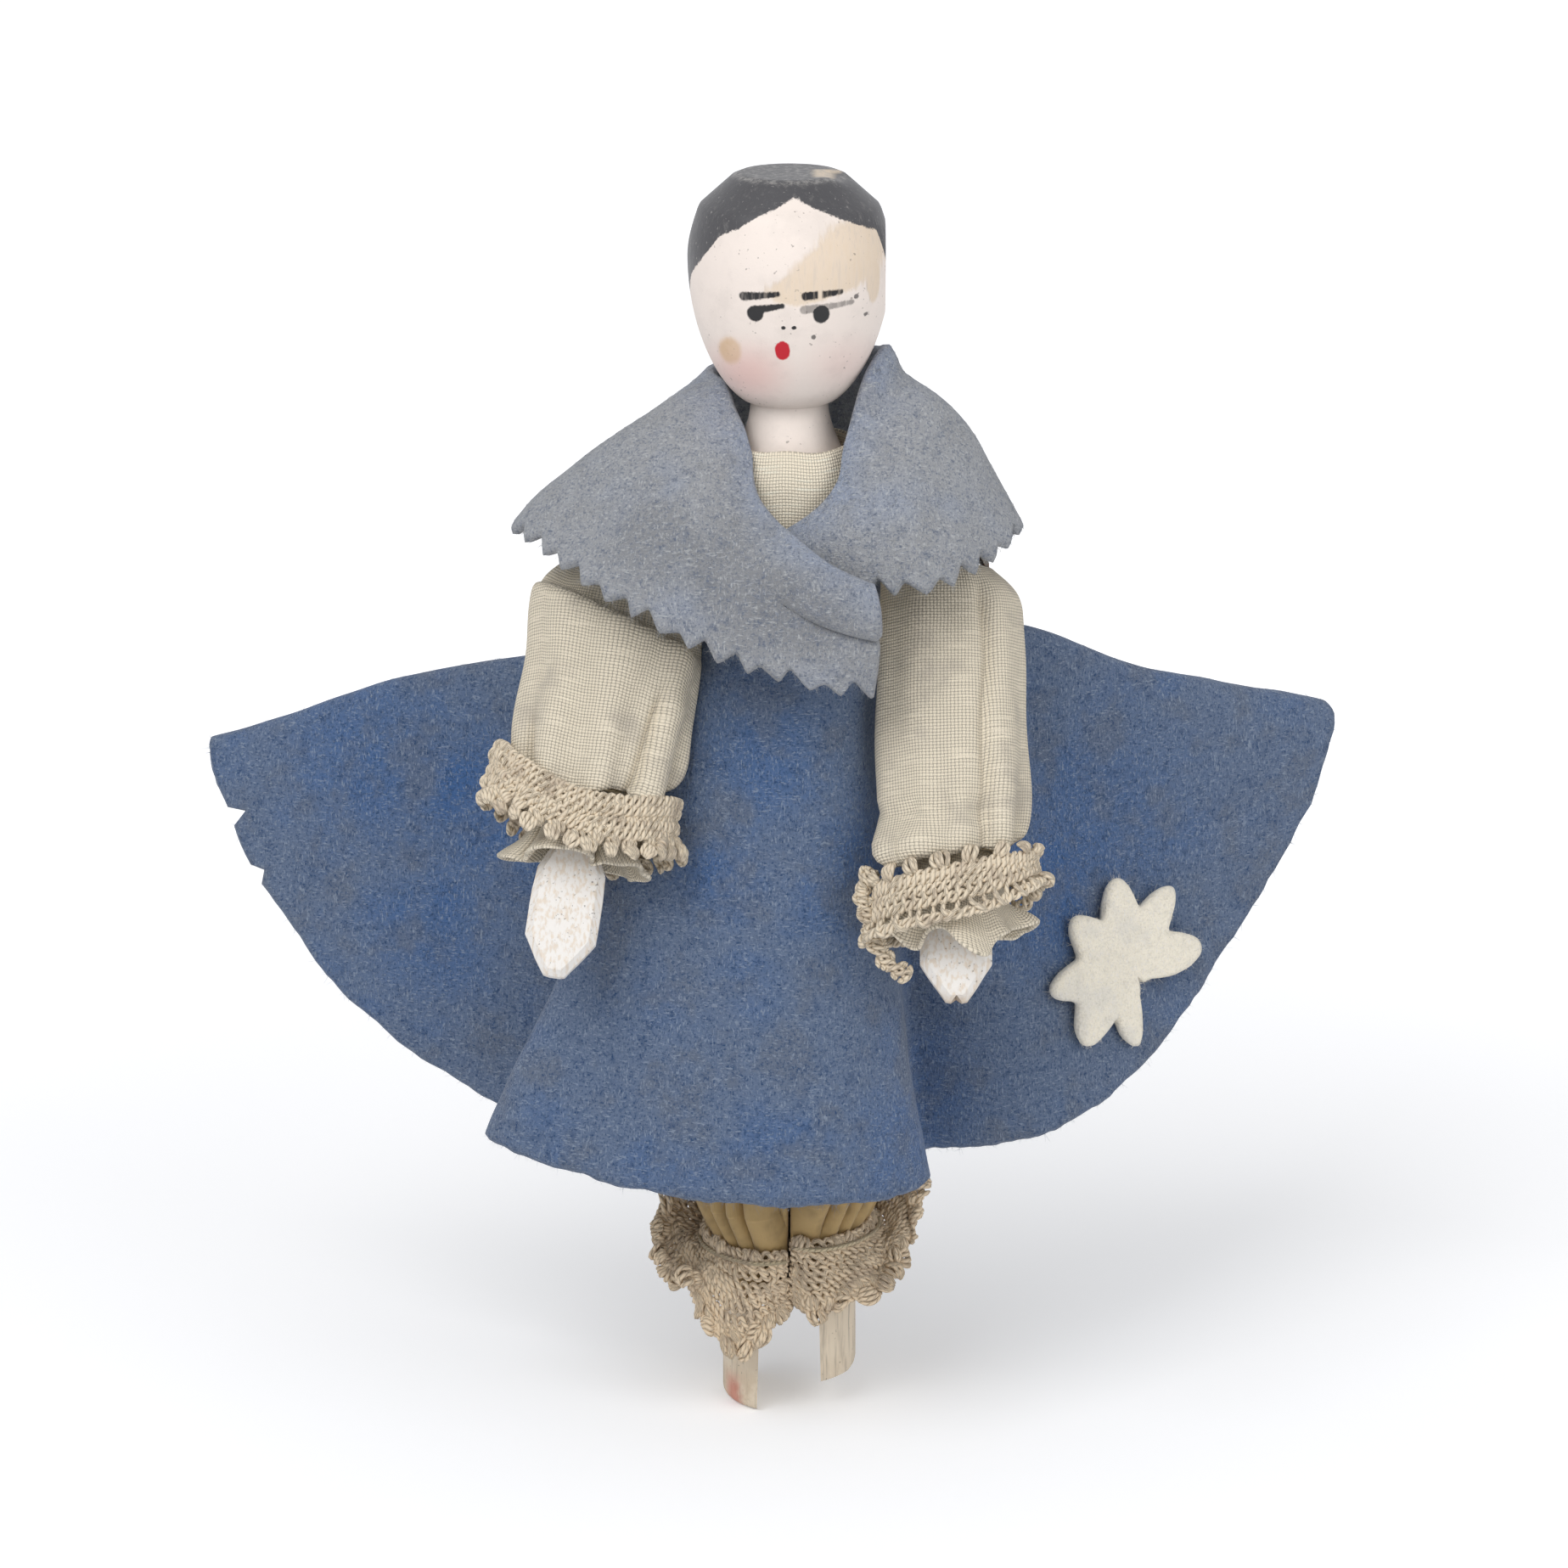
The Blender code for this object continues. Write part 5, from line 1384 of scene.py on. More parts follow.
def make_left_cuff(arm, finish):
    """An openwork band with knots above, a slit row and ribs below, loops at its hem and bobbles down its end."""
    band = Band(cuff_grid(arm), closed=True)
    rng = np.random.default_rng(22)
    paths = []
    for stop in band.stops(2.3):
        paths += puff(band, stop + 0.1 * rng.normal() / band.run(0.0), -0.14, 0.15, 0.72, rng)
    for across in (0.06, 0.16, 0.36, 0.6):
        paths += chain(band, across, 1.3, 0.33, 0.05)
    paths += posts(band, 0.16, 0.36, 2.6, 0.12, rng)
    paths += posts(band, 0.36, 0.6, 0.8, 0.25, rng)
    paths += [picot(band, stop, 0.66, 1.5, rng) for stop in band.stops(1.7)]
    paths += chain(band, 0.95, 1.5, 0.3, 0.0)
    tail = spline([(arm.wrist + down, across) for down, across in LACE_TAIL], 40, closed=False)
    step = unit(np.gradient(tail, axis=0))
    sides = [tail + out * step[:, ::-1] * (1, -1) for out in (-0.7, 0.0, 0.7)]
    lanes = [arm.place(side[:, 0], side[:, 1], np.full(len(side), 0.6)) for side in sides]
    hanging = Band(np.array(lanes), closed=False)
    paths += chain(hanging, 0.5, 1.2, 0.3, 0.0)
    for stop in hanging.stops(1.35):
        paths += puff(hanging, stop, 0.5, 0.15 * rng.normal(), 0.85, rng)
    add_yarn(arm.name + "_crochet_cuff", paths, YARN, finish, arm.body, "lace", arm.name + "_cuff_lace")


# Bodice
def make_bodice(settings, finish):
    """Muslin wound round the shaft up to the neck."""
    peg, dress, arm = read(settings.peg), read(settings.dress), read(settings.arm)
    profile = peg_profile(peg)
    shaft = profile[profile[:, 1] < peg.peg_length - peg.head_height][::-1]
    top = peg.peg_length - dress.bodice_top
    bottom = peg.peg_length - dress.bodice_bottom
    azimuth = np.linspace(180, 540, 96, endpoint=False)
    rows = []
    for height in np.linspace(top, bottom, 48):
        lower = np.interp(height - 4 * arm.muslin, shaft[:, 1], shaft[:, 0])
        radius = max(np.interp(height, shaft[:, 1], shaft[:, 0]), lower) + arm.fit_gap + arm.muslin / 2
        x, y = polar(radius, azimuth)
        rows.append(np.stack([x, y, np.full_like(x, height)], axis=1))
    grid = np.array(rows)
    grid[0, :, 2] += 0.25 * ripple(grid[0], 5.0, 5)
    width = 2 * math.pi * (peg.shaft_radius + arm.muslin)
    grid[..., :2] *= (1 + 0.012 * ripple(grid, 6.0, 6))[..., None]
    shape = cloth(grid, THIN * arm.muslin, True, flat_grid(grid, width))
    obj = add_piece("muslin_bodice", shape, finish, "doll", "muslin", "blouse_bodice")


# Skirt
def skirt_directions(samples):
    """Unit directions from the axis to the waist and from the waist to the hem, round the folds."""
    rows = []
    for waist, fall, drop in SKIRT_FOLDS:
        ax, ay = polar(1.0, waist)
        bx, by = polar(math.cos(math.radians(drop)), fall)
        rows.append((ax, ay, bx, by, -math.sin(math.radians(drop))))
    fine = spline(rows, samples, closed=True)
    return unit(fine[:, :2]), unit(fine[:, 2:])


def skirt_grid(settings, per_fold, rows):
    """The felt circle, drawn in at the waist and standing in its folds."""
    peg, dress, arm = read(settings.peg), read(settings.dress), read(settings.arm)
    out, fall = skirt_directions(per_fold * len(SKIRT_FOLDS))
    bodice = peg.shaft_radius + arm.fit_gap + arm.muslin
    radius = bodice + arm.fit_gap + dress.felt / 2
    waist = np.concatenate([radius * out, np.full((len(out), 1), peg.peg_length - dress.waist_drop)], axis=1)
    shares = np.linspace(0, 1, rows)[:, None, None]
    return waist + shares * dress.skirt_length * fall


def make_skirt(settings):
    """The felt circle with its folds, wings, nicked hem and loose fibres."""
    dress = read(settings.dress)
    c = read(settings.colours)
    grid = skirt_grid(settings, per_fold=32, rows=60)
    rows, columns = grid.shape[:2]
    shares = np.linspace(0, 1, rows)[:, None]
    fall = unit(grid[-1] - grid[0])
    ragged = 0.22 * ripple(grid[-1], 4.5, 11) + 0.1 * ripple(grid[-1], 1.3, 12)
    fold = np.arange(columns) * len(SKIRT_FOLDS) / columns
    ragged = ragged - bell(fold, LEFT_TIP, 0.1)
    grid = grid + (shares ** 4 * ragged)[..., None] * fall
    for at, depth, wide in NICKS:
        grid = grid - (shares ** 40 * depth * (np.abs(fold - at) < wide))[..., None] * fall
    for at, share_at, wide, lift in WING_EDGES:
        grid[..., 2] += lift * bell(shares, share_at, wide) * bell(fold, at, 0.4)
    relief = shares * (0.3 * ripple(grid, 15.0, 13) + 0.1 * ripple(grid, 5.0, 14))
    grid = grid + grid_normals(grid, closed=True) * relief[..., None]
    flat = np.stack(np.broadcast_arrays(np.linspace(0, 300, columns)[None], shares * dress.skirt_length), axis=-1)
    finish = felt("blue_felt", c.skirt_grey, c.skirt_blue, c.skirt_fibre, UNFADED)
    obj = add_piece("felt_skirt", cloth(grid, dress.felt, True, flat), finish, "doll", "skirt_felt", "skirt")
    fibre = plain_fibre("blue_fibre", c.skirt_fibre, c.skirt_grey)
    add_fuzz("skirt_fuzz", grid, True, dress.felt, (16000, 3000), (1.0, 0.6), fibre, "skirt_felt", 15)
    add_stray_hairs(grid, dress.felt, c)


def add_stray_hairs(grid, thickness, c):
    """A few long white hairs caught on the front of the skirt."""
    rng = np.random.default_rng(77)
    normals = grid_normals(grid, closed=True)
    rows, columns = grid.shape[:2]
    fronts = np.nonzero(normals[rows // 2, :, 1] < -0.75)[0]
    paths = []
    for _ in range(16):
        j = float(rng.choice(fronts))
        i = rng.uniform(0.3 * rows, 0.95 * rows)
        way = rng.uniform(0, 2 * math.pi)
        curl = rng.normal() * 0.12
        path = []
        for step in range(int(rng.integers(6, 14))):
            a, b = int(np.clip(i, 1, rows - 2)), int(j) % columns
            lift = thickness / 2 + 0.06 + 0.12 * abs(math.sin(0.5 * step))
            path.append(grid[a, b] + normals[a, b] * lift)
            i += 0.7 * math.sin(way)
            j += 1.1 * math.cos(way)
            way += curl + 0.15 * rng.normal()
        paths.append(spline(path, 3 * len(path), closed=False))
    white = plain_fibre("white_hair", c.hand, c.shawl_fibre)
    add_yarn("stray_hairs", paths, 0.025, white, "doll", "skirt_felt")


def make_waist_thread(settings, finish):
    """Two turns of thread round the waist."""
    peg, dress, arm = read(settings.peg), read(settings.dress), read(settings.arm)
    radius = peg.shaft_radius + 2 * arm.fit_gap + arm.muslin + dress.felt / 2
    azimuth = np.linspace(0, 720, 97)
    x, y = polar(radius + 0.1 * np.sin(np.radians(azimuth / 2)), azimuth)
    base = peg.peg_length - dress.waist_drop + dress.felt / 2 + arm.fit_gap + arm.thread_radius
    z = base + arm.thread_radius * np.linspace(-0.4, 0.4, len(x))
    path = np.stack([x, y, z], axis=1)
    add_yarn("waist_tie", [path], 0.6 * arm.thread_radius, finish, "doll", "thread", "waist_thread")


# Flower
# Each petal's tip angle in degrees and radius, its half widths before and after the tip in degrees,
# then the angle and radius of the notch after it; the widest notch is a lost petal.
PETALS = [
    (-153.9, 8.6, 25, 25, -132.4, 5.3),
    (-103.6, 6.9, 25, 25, -81.5, 4.6),
    (-51.8, 7.5, 25, 25, -27.2, 5.2),
    (-8.0, 8.8, 25, 25, 12.1, 5.9),
    (30.8, 9.0, 23, 34, 81.1, 3.2),
    (122.5, 7.2, 17, 25, 146.0, 4.8),
    (166.6, 8.4, 25, 25, 191.1, 6.3),
]


def make_flower(settings):
    """A felt daisy with one petal torn away, laid on the skirt and following its surface."""
    dress = read(settings.dress)
    c = read(settings.colours)
    per_fold, rows = 64, 61
    grid = skirt_grid(settings, per_fold, rows)
    place = dress.flower_along * (rows - 1)
    row = int(place)
    column = int(round(dress.flower_fold * per_fold))
    middle = grid[row, column] + (place - row) * (grid[row + 1, column] - grid[row, column])
    along = unit(grid[-1, column] - grid[0, column])
    beside = grid[row, column + per_fold // 4] - grid[row, column]
    out = unit(np.cross(along, beside))
    beside = np.cross(out, along)
    if out[1] > 0:
        out = -out
    skirt_points, skirt_faces, _ = cloth(grid, dress.felt, True, np.zeros(grid.shape[:2] + (2,)))
    skirt = BVHTree.FromPolygons([Vector(p) for p in skirt_points], skirt_faces.tolist())
    angle, radius = petal_outline()
    # Layers of the felt from below: share of its thickness, and of the outline; then rings from the middle out.
    layers = ((0.0, 0.97), (0.35, 1.0), (0.75, 1.0), (1.0, 0.95))
    parts = (0.0, 0.25, 0.5, 0.72, 0.88, 1.0)
    laid, flat = [], []
    for lift, shrink in layers:
        for part in parts:
            for a, r in zip(angle, radius):
                u = shrink * part * r * math.cos(a)
                v = shrink * part * r * math.sin(a)
                under = middle + u * beside + v * along
                hit = skirt.ray_cast(Vector(under + 12 * out), Vector(-out))[0]
                base = np.array(hit) if hit else under
                laid.append(base + out * (dress.flower_lift + dress.felt * lift))
                flat.append((u, v))
    laid = np.array(laid)
    index = np.arange(len(laid)).reshape(len(layers), len(parts), len(angle))
    faces = np.concatenate([ring_faces(index[0]), ring_faces(index[-1]), ring_faces(index[:, -1])])
    points = laid + 0.06 * ripple(laid, 2.5, 31)[:, None] * out
    finish = felt("ivory_felt", c.ivory, toned(c.ivory, 0.93), c.hand, fleck=0.3)
    obj = add_piece("felt_daisy", (points, faces, flat), finish, "doll", "flower_felt", "felt_flower")
    size = 2 * radius.max() * MM
    area = 0.5 * float((radius ** 2).mean()) * 2 * math.pi * MM * MM
    rim = laid[index[:, -1]]
    rng = np.random.default_rng(33)
    fibre_count = 600
    pick = rng.integers(0, len(angle), fibre_count)
    roots = rim[rng.integers(0, len(layers), fibre_count), pick]
    away = unit(roots - middle)
    spread = rng.normal(size=(2, fibre_count, 3))
    lengths = rng.uniform(0.15, 0.45, fibre_count)
    shape = hairs(roots, unit(away + 0.9 * spread[0]), 0.6 * spread[1], lengths, 0.012)
    add_piece("daisy_fuzz", shape, plain_fibre("ivory_fibre", c.hand, c.ivory), "doll", "flower_felt")


def petal_outline():
    """Angle and radius round the daisy: rounded petals between notches, with a gap where one is lost."""
    angle = circle(288)
    radius = np.zeros(len(angle))
    for k, (tip, reach, half_before, half_after, after, after_low) in enumerate(PETALS):
        before, before_low = PETALS[k - 1][4:]
        turned = (np.degrees(angle) - tip + 180) % 360 - 180
        span_after = (after - tip) % 360
        span_before = (tip - before) % 360
        inside = (turned > -span_before) & (turned <= span_after)
        low = np.where(turned > 0, after_low, before_low)
        span = np.where(turned > 0, min(span_after, half_after), min(span_before, half_before))
        part = np.abs(turned) / span
        radius[inside] = (low + (reach - low) * (1 - 0.3 * part - 0.7 * ease(part, 0.08, 1.03)))[inside]
    for _ in range(3):
        radius = (np.roll(radius, 1) + 2 * radius + np.roll(radius, -1)) / 4
    ring = np.stack([radius * np.cos(angle), radius * np.sin(angle), np.zeros_like(angle)], axis=1)
    return angle, radius + 0.09 * ripple(ring, 1.4, 30)


# Shawl
def shawl_row(peg, dress, section, part):
    """Points down sections of the shawl, swelling outwards between neck edge and hem."""
    azimuth, neck_radius, neck_drop, hem_radius, hem_drop = section.T
    tuck = 1.7 * ease(azimuth, 238, 268) * ease(-azimuth, -348, -326) * bell(part, 0, 0.09)
    collar = 1.4 * ease(azimuth, 44, 72) * ease(-azimuth, -150, -118) * bell(part, 0.2, 0.13)
    radius = neck_radius + (hem_radius - neck_radius) * part - tuck - collar
    drop = neck_drop + (hem_drop - neck_drop) * part
    swell = 0.7 * dress.shawl_swell * math.sin(math.pi * part)
    x, y = polar(radius + swell, azimuth)
    return np.stack([x, y, peg.peg_length - drop + swell], axis=1)


def make_shawl(settings):
    """A felt kerchief crossed in front, with a pinked hem."""
    peg, dress = read(settings.peg), read(settings.dress)
    c = read(settings.colours)
    fine = spline(SHAWL_SECTIONS, 1200, closed=False)
    run = distances(shawl_row(peg, dress, fine, 1.0))
    teeth = int(run[-1] / dress.pink_pitch)
    per_tooth = 12
    stops = np.linspace(0, run[-1], per_tooth * teeth + 1)
    sections = np.stack([np.interp(stops, run, fine[:, k]) for k in range(fine.shape[1])], axis=1)
    rows = 48
    shares = np.linspace(0, 1, rows)
    grid = np.array([shawl_row(peg, dress, sections, part) for part in shares])
    fall = unit(grid[-1] - grid[-4])
    rng = np.random.default_rng(51)
    tooth, phase = np.divmod(np.arange(len(sections)) / per_tooth, 1.0)
    notch = rng.uniform(0.36, 0.64, teeth + 1)[tooth.astype(int)]
    depth = rng.uniform(0.65, 1.2, teeth + 1)[tooth.astype(int)]
    zigzag = np.minimum(phase / notch, (1 - phase) / (1 - notch))
    zigzag = 0.5 * zigzag + 0.5 * ease(zigzag, 0.0, 1.0)
    bite = ease(shares, 0.82, 1.0)[:, None] * dress.pink_depth * depth * zigzag
    grid = grid - bite[..., None] * fall
    normals = grid_normals(grid, closed=False)
    outward = np.sign((normals[rows // 2, :, :2] * grid[rows // 2, :, :2]).sum())
    relief = 0.28 * ripple(grid, 13.0, 52) + 0.12 * ripple(grid, 4.5, 53)
    relief = relief * np.minimum(1.0, np.linspace(0.3, 3.0, rows))[:, None]
    rolled = np.sqrt(np.clip(1 - ((shares - 0.26) / 0.27) ** 2, 0, 1)) - 0.55 * bell(shares, 0.55, 0.04)
    relief = relief + np.multiply.outer(rolled, dress.shawl_roll * ease(sections[:, 0], 350, 374))
    grid = grid + outward * normals * relief[..., None]
    shape = cloth(grid, 0.95 * dress.felt, False, flat_grid(grid, run[-1]))
    finish = felt("grey_felt", c.shawl_grey, c.shawl_blue, c.shawl_fibre, edge=5.0, painted_shade=SHAWL_SHADE)
    obj = add_piece("felt_shawl", shape, finish, "doll", "shawl_felt", "shawl")
    fibre = plain_fibre("grey_fibre", c.shawl_fibre, c.shawl_grey)
    add_fuzz("shawl_fuzz", grid, False, dress.felt, (9000, 2600), (0.9, 0.6), fibre, "shawl_felt", 54)


# Pantalettes and ankle lace
# How far each layer draws back where it turns into the slot, and how far it bulges there.
CORNER = 0.9
PLUMP = 1.6


class Leg:
    """One prong's side, its sizes and the heights of its frill."""

    def __init__(self, settings, name, side):
        self.name = name
        self.side = side
        self.peg = read(settings.peg)
        self.dress = read(settings.dress)
        self.gap = read(settings.arm).fit_gap
        self.top = getattr(self.dress, name + "_frill_top")
        self.hem = getattr(self.dress, name + "_frill_hem")
        self.ankle = self.top + self.dress.frill_tied * (self.hem - self.top)

    def inside(self, height, seat):
        """How far the layer's straight run stands from the middle of the slot."""
        return max(0.25, slot_half_width(self.peg, height) - seat)

    def ring(self, height, seat, arc, out, plump=0.0):
        """Points on the outer arc at arc shares from -1 to 1, standing out by a distance."""
        radius = self.peg.shaft_radius + seat
        half_angle = math.acos(self.inside(height, seat + plump) / radius)
        x = (radius + out) * np.cos(half_angle * arc)
        y = (radius + out) * np.sin(half_angle * arc)
        return np.stack([self.side * x, self.side * y, np.full(len(x), height)], axis=1)

    def slot_run(self, height, seat, samples, plump=0.0):
        """Points of the straight run inside the slot, from the end of the arc back to its start."""
        inside = self.inside(height, seat + plump)
        radius = self.peg.shaft_radius + seat - CORNER
        y = np.linspace(1, -1, samples + 2)[1:-1] * (radius ** 2 - inside ** 2) ** 0.5
        return np.stack([np.full(samples, self.side * inside), self.side * y, np.full(samples, height)], axis=1)

    def corner(self, arc):
        """How far the layer draws back where it turns into the slot."""
        return CORNER * ease(0.35 - np.cos(arc * math.pi / 2), 0.0, 0.35)


def make_leg(leg, finish):
    """A sateen leg gathered by a thread over the top of its lace frill."""
    dress = leg.dress
    arc = np.linspace(-1, 1, 180)
    ends = np.maximum(np.cos(arc * math.pi / 2), 0.0) ** 0.28
    seat = leg.gap + dress.sateen / 2
    # Height and fullness, from the top of the leg to its hem.
    keys = [(dress.leg_top, 0.3), (0.6 * dress.leg_top + 0.4 * leg.ankle, 1.0),
            (0.2 * dress.leg_top + 0.8 * leg.ankle, 1.3), (leg.top + 2 * dress.leg_gather, 1.2),
            (leg.top + 0.6 * dress.leg_gather, 0.6), (leg.ankle, 0.0), (dress.leg_hem, 0.0)]
    rows = []
    for height, full in spline(keys, 80, closed=False):
        sway = 0.07 * math.sin(0.45 * height + leg.side)
        warp = arc + sway + 0.06 * np.sin(5 * arc + 2 * leg.side) + 0.03 * np.sin(11 * arc)
        pleats = np.abs(np.sin(0.5 * math.pi * dress.leg_pleats * (warp + 1))) ** 0.7
        swell = ends * 1.5 * dress.leg_fullness * max(full, 0.0) * (pleats - 0.1)
        outer = leg.ring(height, seat, arc, swell - leg.corner(arc), PLUMP)
        rows.append(np.concatenate([outer, leg.slot_run(height, seat, 20, PLUMP)]))
    grid = np.array(rows)
    width = row_lengths(grid, closed=False).max()
    shape = cloth(grid, THIN * dress.sateen, True, flat_grid(grid, width))
    obj = add_piece(leg.name + "_sateen_leg", shape, finish, "doll", "sateen", leg.name + "_pantalette_leg")


# Scallops in the hem of each frill: place from front (-1) to back (1), spread and rise.
FRILL_HEMS = {
    "right": [(-1.0, 0.16, 3.6), (-0.62, 0.13, -1.9), (-0.36, 0.09, 3.2)],
    "left": [(-1.0, 0.14, 1.4)],
}


def even_hem(grid):
    """The same strip with its columns evenly spaced along its last row."""
    run = distances(grid[-1])
    places = np.linspace(0, run[-1], grid.shape[1])
    return np.array([np.stack([np.interp(places, run, row[:, k]) for k in range(3)], axis=1) for row in grid])


def make_ankle_lace(leg, finish):
    """A crumpled crochet frill turned up outside: close rows, two open ones and a bobbled edge; plain in the slot."""
    dress = leg.dress
    seat = 2 * leg.gap + dress.sateen + dress.frill / 2
    arc = np.linspace(-1, 1, 140)
    broad = np.maximum(np.cos(arc * math.pi / 2), 0.0) ** 0.55
    behind = leg.side * arc
    wave = dress.frill_wave * np.cos(math.pi * dress.frill_waves * (arc + 1))
    turned_up = 0.25 * ease(behind, -0.95, -0.4) + 0.75 * ease(behind, -0.35, 0.25)
    turned_up = turned_up * ease(1 - behind, 0.0, 0.3)
    stand = broad * (0.3 + 0.3 * ease(behind, -0.9, -0.1))
    scallop = sum(rise * bell(behind, at, wide) for at, wide, rise in FRILL_HEMS[leg.name])
    outer, inner = [], []
    for part in np.linspace(0, 1, 24):
        opened = max(0.0, (part - dress.frill_tied) / (1 - dress.frill_tied)) ** 0.7
        height = leg.top + part * (leg.hem - leg.top)
        ring = leg.ring(height, seat, arc, stand * opened * (dress.frill_flare + wave) - leg.corner(arc), PLUMP)
        crumple = ((0.25 + 0.75 * opened) * broad)[:, None]
        folds = crumple * np.stack([0.5 * ripple(ring, 4.5, 90 + leg.side), 0.5 * ripple(ring, 3.6, 91),
                                    0.9 * ripple(ring, 4.0, 92 + leg.side)], axis=1)
        folds[:, 2] += dress.frill_rise * opened ** 1.5 * turned_up
        folds[:, 2] += opened ** 2 * scallop
        outer.append(ring + folds)
        slot = np.concatenate([ring[-1:], leg.slot_run(height, seat, 12, PLUMP), ring[:1]])
        slot[:, 2] += opened ** 2 * np.linspace(scallop[-1], scallop[0], len(slot))
        inner.append(slot)
    band = Band(even_hem(np.array(outer)), closed=False)
    rng = np.random.default_rng(95 + leg.side)
    paths = []
    rows = (0.03, 0.12, 0.21, 0.37, 0.46, 0.55, 0.7, 0.79, 0.88, 0.97)
    open_rows = (2, 5)
    for across in rows:
        paths += chain(band, across, 1.15, 0.35, 0.12 + 0.06 * rng.normal())
    for row, (first, last) in enumerate(zip(rows[:-1], rows[1:])):
        paths += posts(band, first, last, 2.4 if row in open_rows else 0.68, 0.25, rng)
    for across, pitch, size in ((0.05, 1.45, 0.62), (0.84, 1.5, 0.7), (0.99, 2.1, 1.0)):
        for stop in band.stops(pitch, across):
            place = np.clip(stop + (across * pitch + 0.2 * rng.normal()) / band.run(across), 0.02, 0.98)
            paths += puff(band, place, across + 0.02 * rng.normal(), 0.1 * rng.normal(), size, rng)
    flat_run = Band(np.array(inner), closed=False)
    for across in (0.1, 0.4, 0.7, 0.98):
        paths += chain(flat_run, across, 1.6, 0.25, 0.0)
    paths += posts(flat_run, 0.1, 0.98, 1.5, 0.02, rng)
    add_yarn(leg.name + "_crochet_frill", paths, YARN, finish, "doll", "lace", leg.name + "_ankle_lace")


def make_ankle_thread(leg, finish):
    """One turn of thread round the prong and through the slot."""
    dress = leg.dress
    seat = 3 * leg.gap + dress.sateen + dress.frill + dress.ankle_thread
    height = 0.5 * (leg.top + leg.ankle)
    arc = np.linspace(-1, 1, 60)
    ring = np.concatenate([leg.ring(height, seat, arc, -leg.corner(arc)), leg.slot_run(height, seat, 20)])
    path = np.concatenate([ring, ring[:4]])
    add_yarn(leg.name + "_ankle_tie", [path], dress.ankle_thread, finish, "doll", "thread", leg.name + "_ankle_thread")


def both_legs(settings):
    return [Leg(settings, "right", -1), Leg(settings, "left", 1)]


# Stage
# Lamps: name, place, width and power.
LAMPS = [
    ("key", (-0.35, -0.55, 0.75), 0.6, 4.2),
    ("fill", (0.55, -0.5, 0.4), 0.6, 1.4),
]
# Camera: place from the foot of the peg in metres, degrees below the horizontal, and lens.
VIEWPOINT = (-0.00045, -0.505, 0.1965)
LOOK_DOWN = 15.65
LENS = 141.9
# Half width of the floor in metres.
FLOOR = 4.0


def make_stage():
    """A white floor, soft light from above and in front, and the camera at the photographer's place."""
    scene = bpy.context.scene
    scene.view_settings.view_transform = "Standard"
    floor = Finish("white_paper")
    here = floor.place()
    x, y, _ = floor.split(here)
    tone = floor.cloud(here, 90.0, 1.0)
    floor.feed({"Roughness": 0.9, "Specular IOR Level": 0.1})
    floor.feed({"Base Color": floor.mix((0.93, 0.93, 0.94, 1.0), (0.90, 0.905, 0.92, 1.0), tone)})
    far = floor.smooth((x ** 2 + y ** 2) ** 0.5, 60.0, 330.0)
    glow = floor.mix((0.22, 0.22, 0.22, 1), (0.5, 0.5, 0.5, 1), far)
    floor.feed({"Emission Color": floor.mix((0, 0, 0, 1), glow, floor.seen()), "Emission Strength": 1.0})
    mesh = bpy.data.meshes.new("paper_floor")
    corners = [(x * FLOOR, y * FLOOR, 0) for x, y in ((-1, -1), (1, -1), (1, 1), (-1, 1))]
    mesh.from_pydata(corners, [], [(0, 1, 2, 3)])
    mesh.materials.append(floor.material)
    paper = bpy.data.objects.new("paper_floor", mesh)
    scene.collection.objects.link(paper)

    aim = Vector((STANDING[0], STANDING[1], 0.05))
    for name, place, size, watts in LAMPS:
        lamp = bpy.data.lights.new(name, "AREA")
        lamp.size = size
        lamp.energy = watts
        light = bpy.data.objects.new(name, lamp)
        light.location = place
        light.rotation_euler = (aim - Vector(place)).to_track_quat("-Z", "Y").to_euler()
        scene.collection.objects.link(light)
    world = bpy.data.worlds.new("soft_daylight")
    world.use_nodes = True
    sky = Nodes(world.node_tree)
    strength = sky.node("ShaderNodeMapRange", None, {"Value": sky.seen(), "To Min": 0.55, "To Max": 1.0})
    sky.connect(sky.tree.nodes["Background"], {"Color": (0.97, 0.98, 1.0, 1.0), "Strength": strength})
    scene.world = world

    camera = bpy.data.cameras.new("camera")
    camera.sensor_width = 36.0
    camera.lens = LENS
    viewer = bpy.data.objects.new("camera", camera)
    viewer.location = STANDING + VIEWPOINT
    viewer.rotation_euler = (math.radians(90 - LOOK_DOWN), 0, 0)
    scene.collection.objects.link(viewer)
    scene.camera = viewer


# Operators
class DOLL_OT_stage(bpy.types.Operator):
    """Set up the paper floor, the lights and the camera"""

    bl_idname = "doll.add_stage"
    bl_label = "Stage"

    def execute(self, context):
        make_stage()
        return {"FINISHED"}


class DOLL_OT_peg(bpy.types.Operator):
    """Turn and paint the clothes peg"""

    bl_idname = "doll.add_peg"
    bl_label = "Clothes Peg"

    def execute(self, context):
        make_peg(context.scene.peg_doll)
        return {"FINISHED"}


class DOLL_OT_arms(bpy.types.Operator):
    """Whittle both arms and finish the shoulder wire"""

    bl_idname = "doll.add_arms"
    bl_label = "Arms and Wire"

    def execute(self, context):
        colours = read(context.scene.peg_doll.colours)
        wire = frame["nodes"]["shoulder_wire"]
        wire.data.materials.clear()
        wire.data.materials.append(dull_wire(colours))
        finish = painted_hand(colours)
        for arm in both_arms(context.scene.peg_doll):
            make_arm_stick(arm, finish)
        return {"FINISHED"}


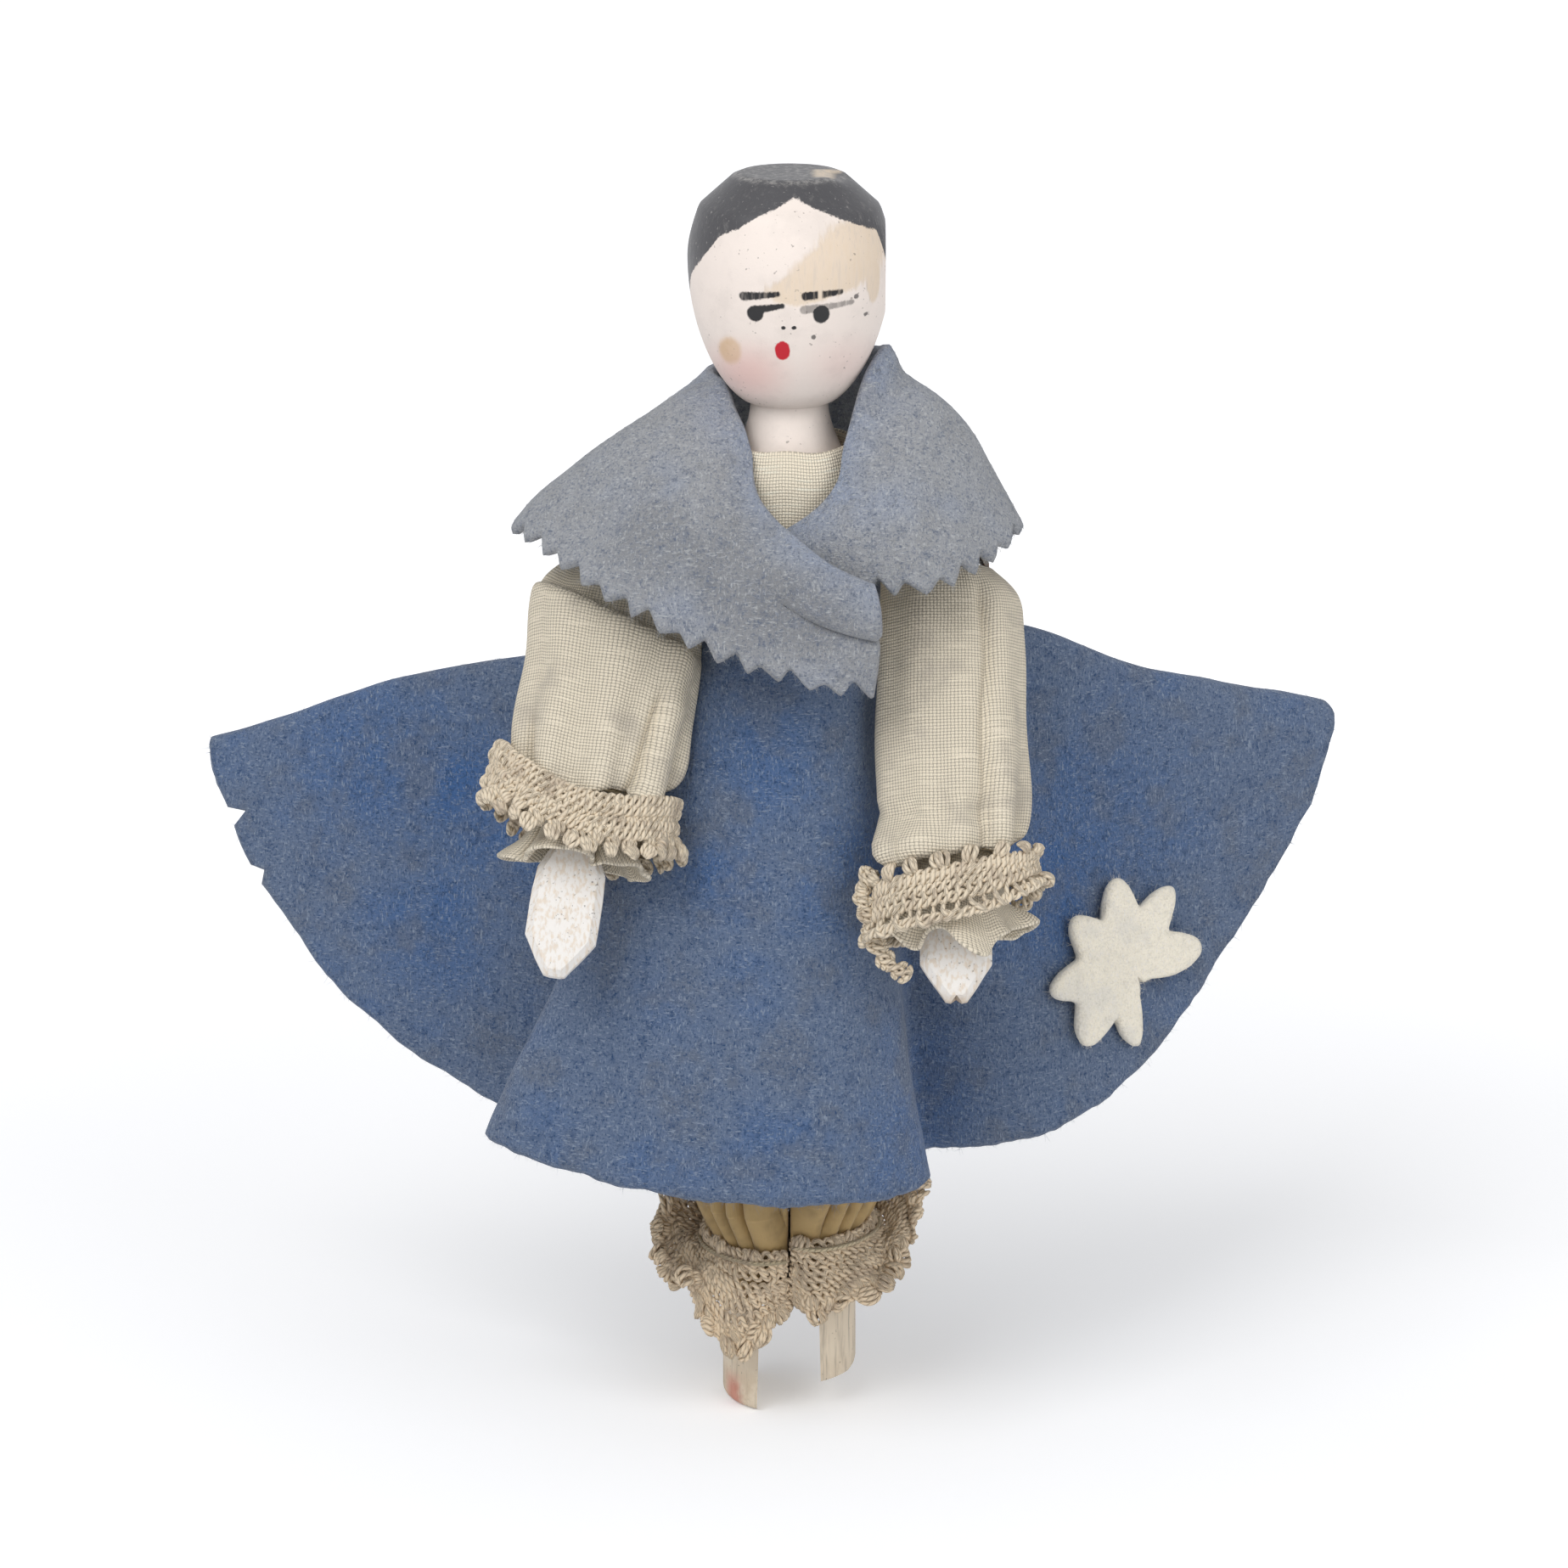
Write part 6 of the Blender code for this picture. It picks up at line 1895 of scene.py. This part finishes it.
class DOLL_OT_blouse(bpy.types.Operator):
    """Sew the muslin bodice and sleeves"""

    bl_idname = "doll.add_blouse"
    bl_label = "Blouse"

    def execute(self, context):
        settings = context.scene.peg_doll
        colours = read(settings.colours)
        finish = woven("beige_muslin", colours.muslin, colours.muslin_stain, 0.26, 0.5)
        # Painted light: the bodice is a paler copy of the sleeve muslin, to look brightly lit where the head shades it.
        pale = toned(colours.muslin, 1.2)
        make_bodice(settings, woven("bodice_muslin", pale, colours.muslin, 0.26, 0.4))
        for arm in both_arms(settings):
            make_sleeve(arm, finish)
        return {"FINISHED"}


class DOLL_OT_cuffs(bpy.types.Operator):
    """Crochet the cuff lace"""

    bl_idname = "doll.add_cuffs"
    bl_label = "Cuff Lace"

    def execute(self, context):
        colours = read(context.scene.peg_doll.colours)
        finish = spun("cuff_cotton", colours.cotton, colours.cotton_dirt, 0.7)
        right, left = both_arms(context.scene.peg_doll)
        make_right_cuff(right, finish)
        make_left_cuff(left, finish)
        return {"FINISHED"}


class DOLL_OT_skirt(bpy.types.Operator):
    """Fold the felt circle into the skirt"""

    bl_idname = "doll.add_skirt"
    bl_label = "Skirt"

    def execute(self, context):
        make_skirt(context.scene.peg_doll)
        return {"FINISHED"}


class DOLL_OT_flower(bpy.types.Operator):
    """Lay the felt daisy on the skirt"""

    bl_idname = "doll.add_flower"
    bl_label = "Flower"

    def execute(self, context):
        make_flower(context.scene.peg_doll)
        return {"FINISHED"}


class DOLL_OT_shawl(bpy.types.Operator):
    """Cross the pinked felt shawl over the shoulders"""

    bl_idname = "doll.add_shawl"
    bl_label = "Shawl"

    def execute(self, context):
        make_shawl(context.scene.peg_doll)
        return {"FINISHED"}


class DOLL_OT_legs(bpy.types.Operator):
    """Sew the pantalettes and crochet their frills"""

    bl_idname = "doll.add_legs"
    bl_label = "Pantalettes"

    def execute(self, context):
        settings = context.scene.peg_doll
        colours = read(settings.colours)
        sateen = satin("tan_sateen", colours.sateen)
        red, green, blue = colours.cotton[:3]
        aged = (red, 0.94 * green, 0.87 * blue, 1.0)
        cotton = spun("frill_cotton", aged, colours.cotton_dirt, 0.7)
        for leg in both_legs(settings):
            make_leg(leg, sateen)
            make_ankle_lace(leg, cotton)
        return {"FINISHED"}


class DOLL_OT_threads(bpy.types.Operator):
    """Tie the threads at wrists, waist and ankles"""

    bl_idname = "doll.add_threads"
    bl_label = "Threads"

    def execute(self, context):
        settings = context.scene.peg_doll
        colours = read(settings.colours)
        finish = spun("tie_thread", colours.thread, colours.cotton_dirt, 0.5)
        for arm in both_arms(settings):
            make_wrist_thread(arm, finish)
        make_waist_thread(settings, finish)
        for leg in both_legs(settings):
            make_ankle_thread(leg, finish)
        return {"FINISHED"}


OPERATORS = (DOLL_OT_stage, DOLL_OT_peg, DOLL_OT_arms, DOLL_OT_blouse, DOLL_OT_cuffs, DOLL_OT_skirt,
             DOLL_OT_flower, DOLL_OT_shawl, DOLL_OT_legs, DOLL_OT_threads)


class DOLL_PT_workshop(bpy.types.Panel):
    """The pieces of the doll, in the order they are made"""

    bl_idname = "DOLL_PT_workshop"
    bl_label = "Peg Doll"
    bl_space_type = "VIEW_3D"
    bl_region_type = "UI"
    bl_category = "Peg Doll"

    def draw(self, context):
        for operator in OPERATORS:
            self.layout.operator(operator.bl_idname)


CLASSES = (PegSizes, ArmSizes, DressSizes, DollColours, DollSettings, *OPERATORS, DOLL_PT_workshop)


def register():
    for each in CLASSES:
        bpy.utils.register_class(each)
    bpy.types.Scene.peg_doll = PointerProperty(type=DollSettings)


def unregister():
    del bpy.types.Scene.peg_doll
    for each in reversed(CLASSES):
        bpy.utils.unregister_class(each)


def main():
    register()
    for operator in OPERATORS:
        getattr(bpy.ops.doll, operator.bl_idname.split(".")[1])()


if __name__ == "__main__":
    main()
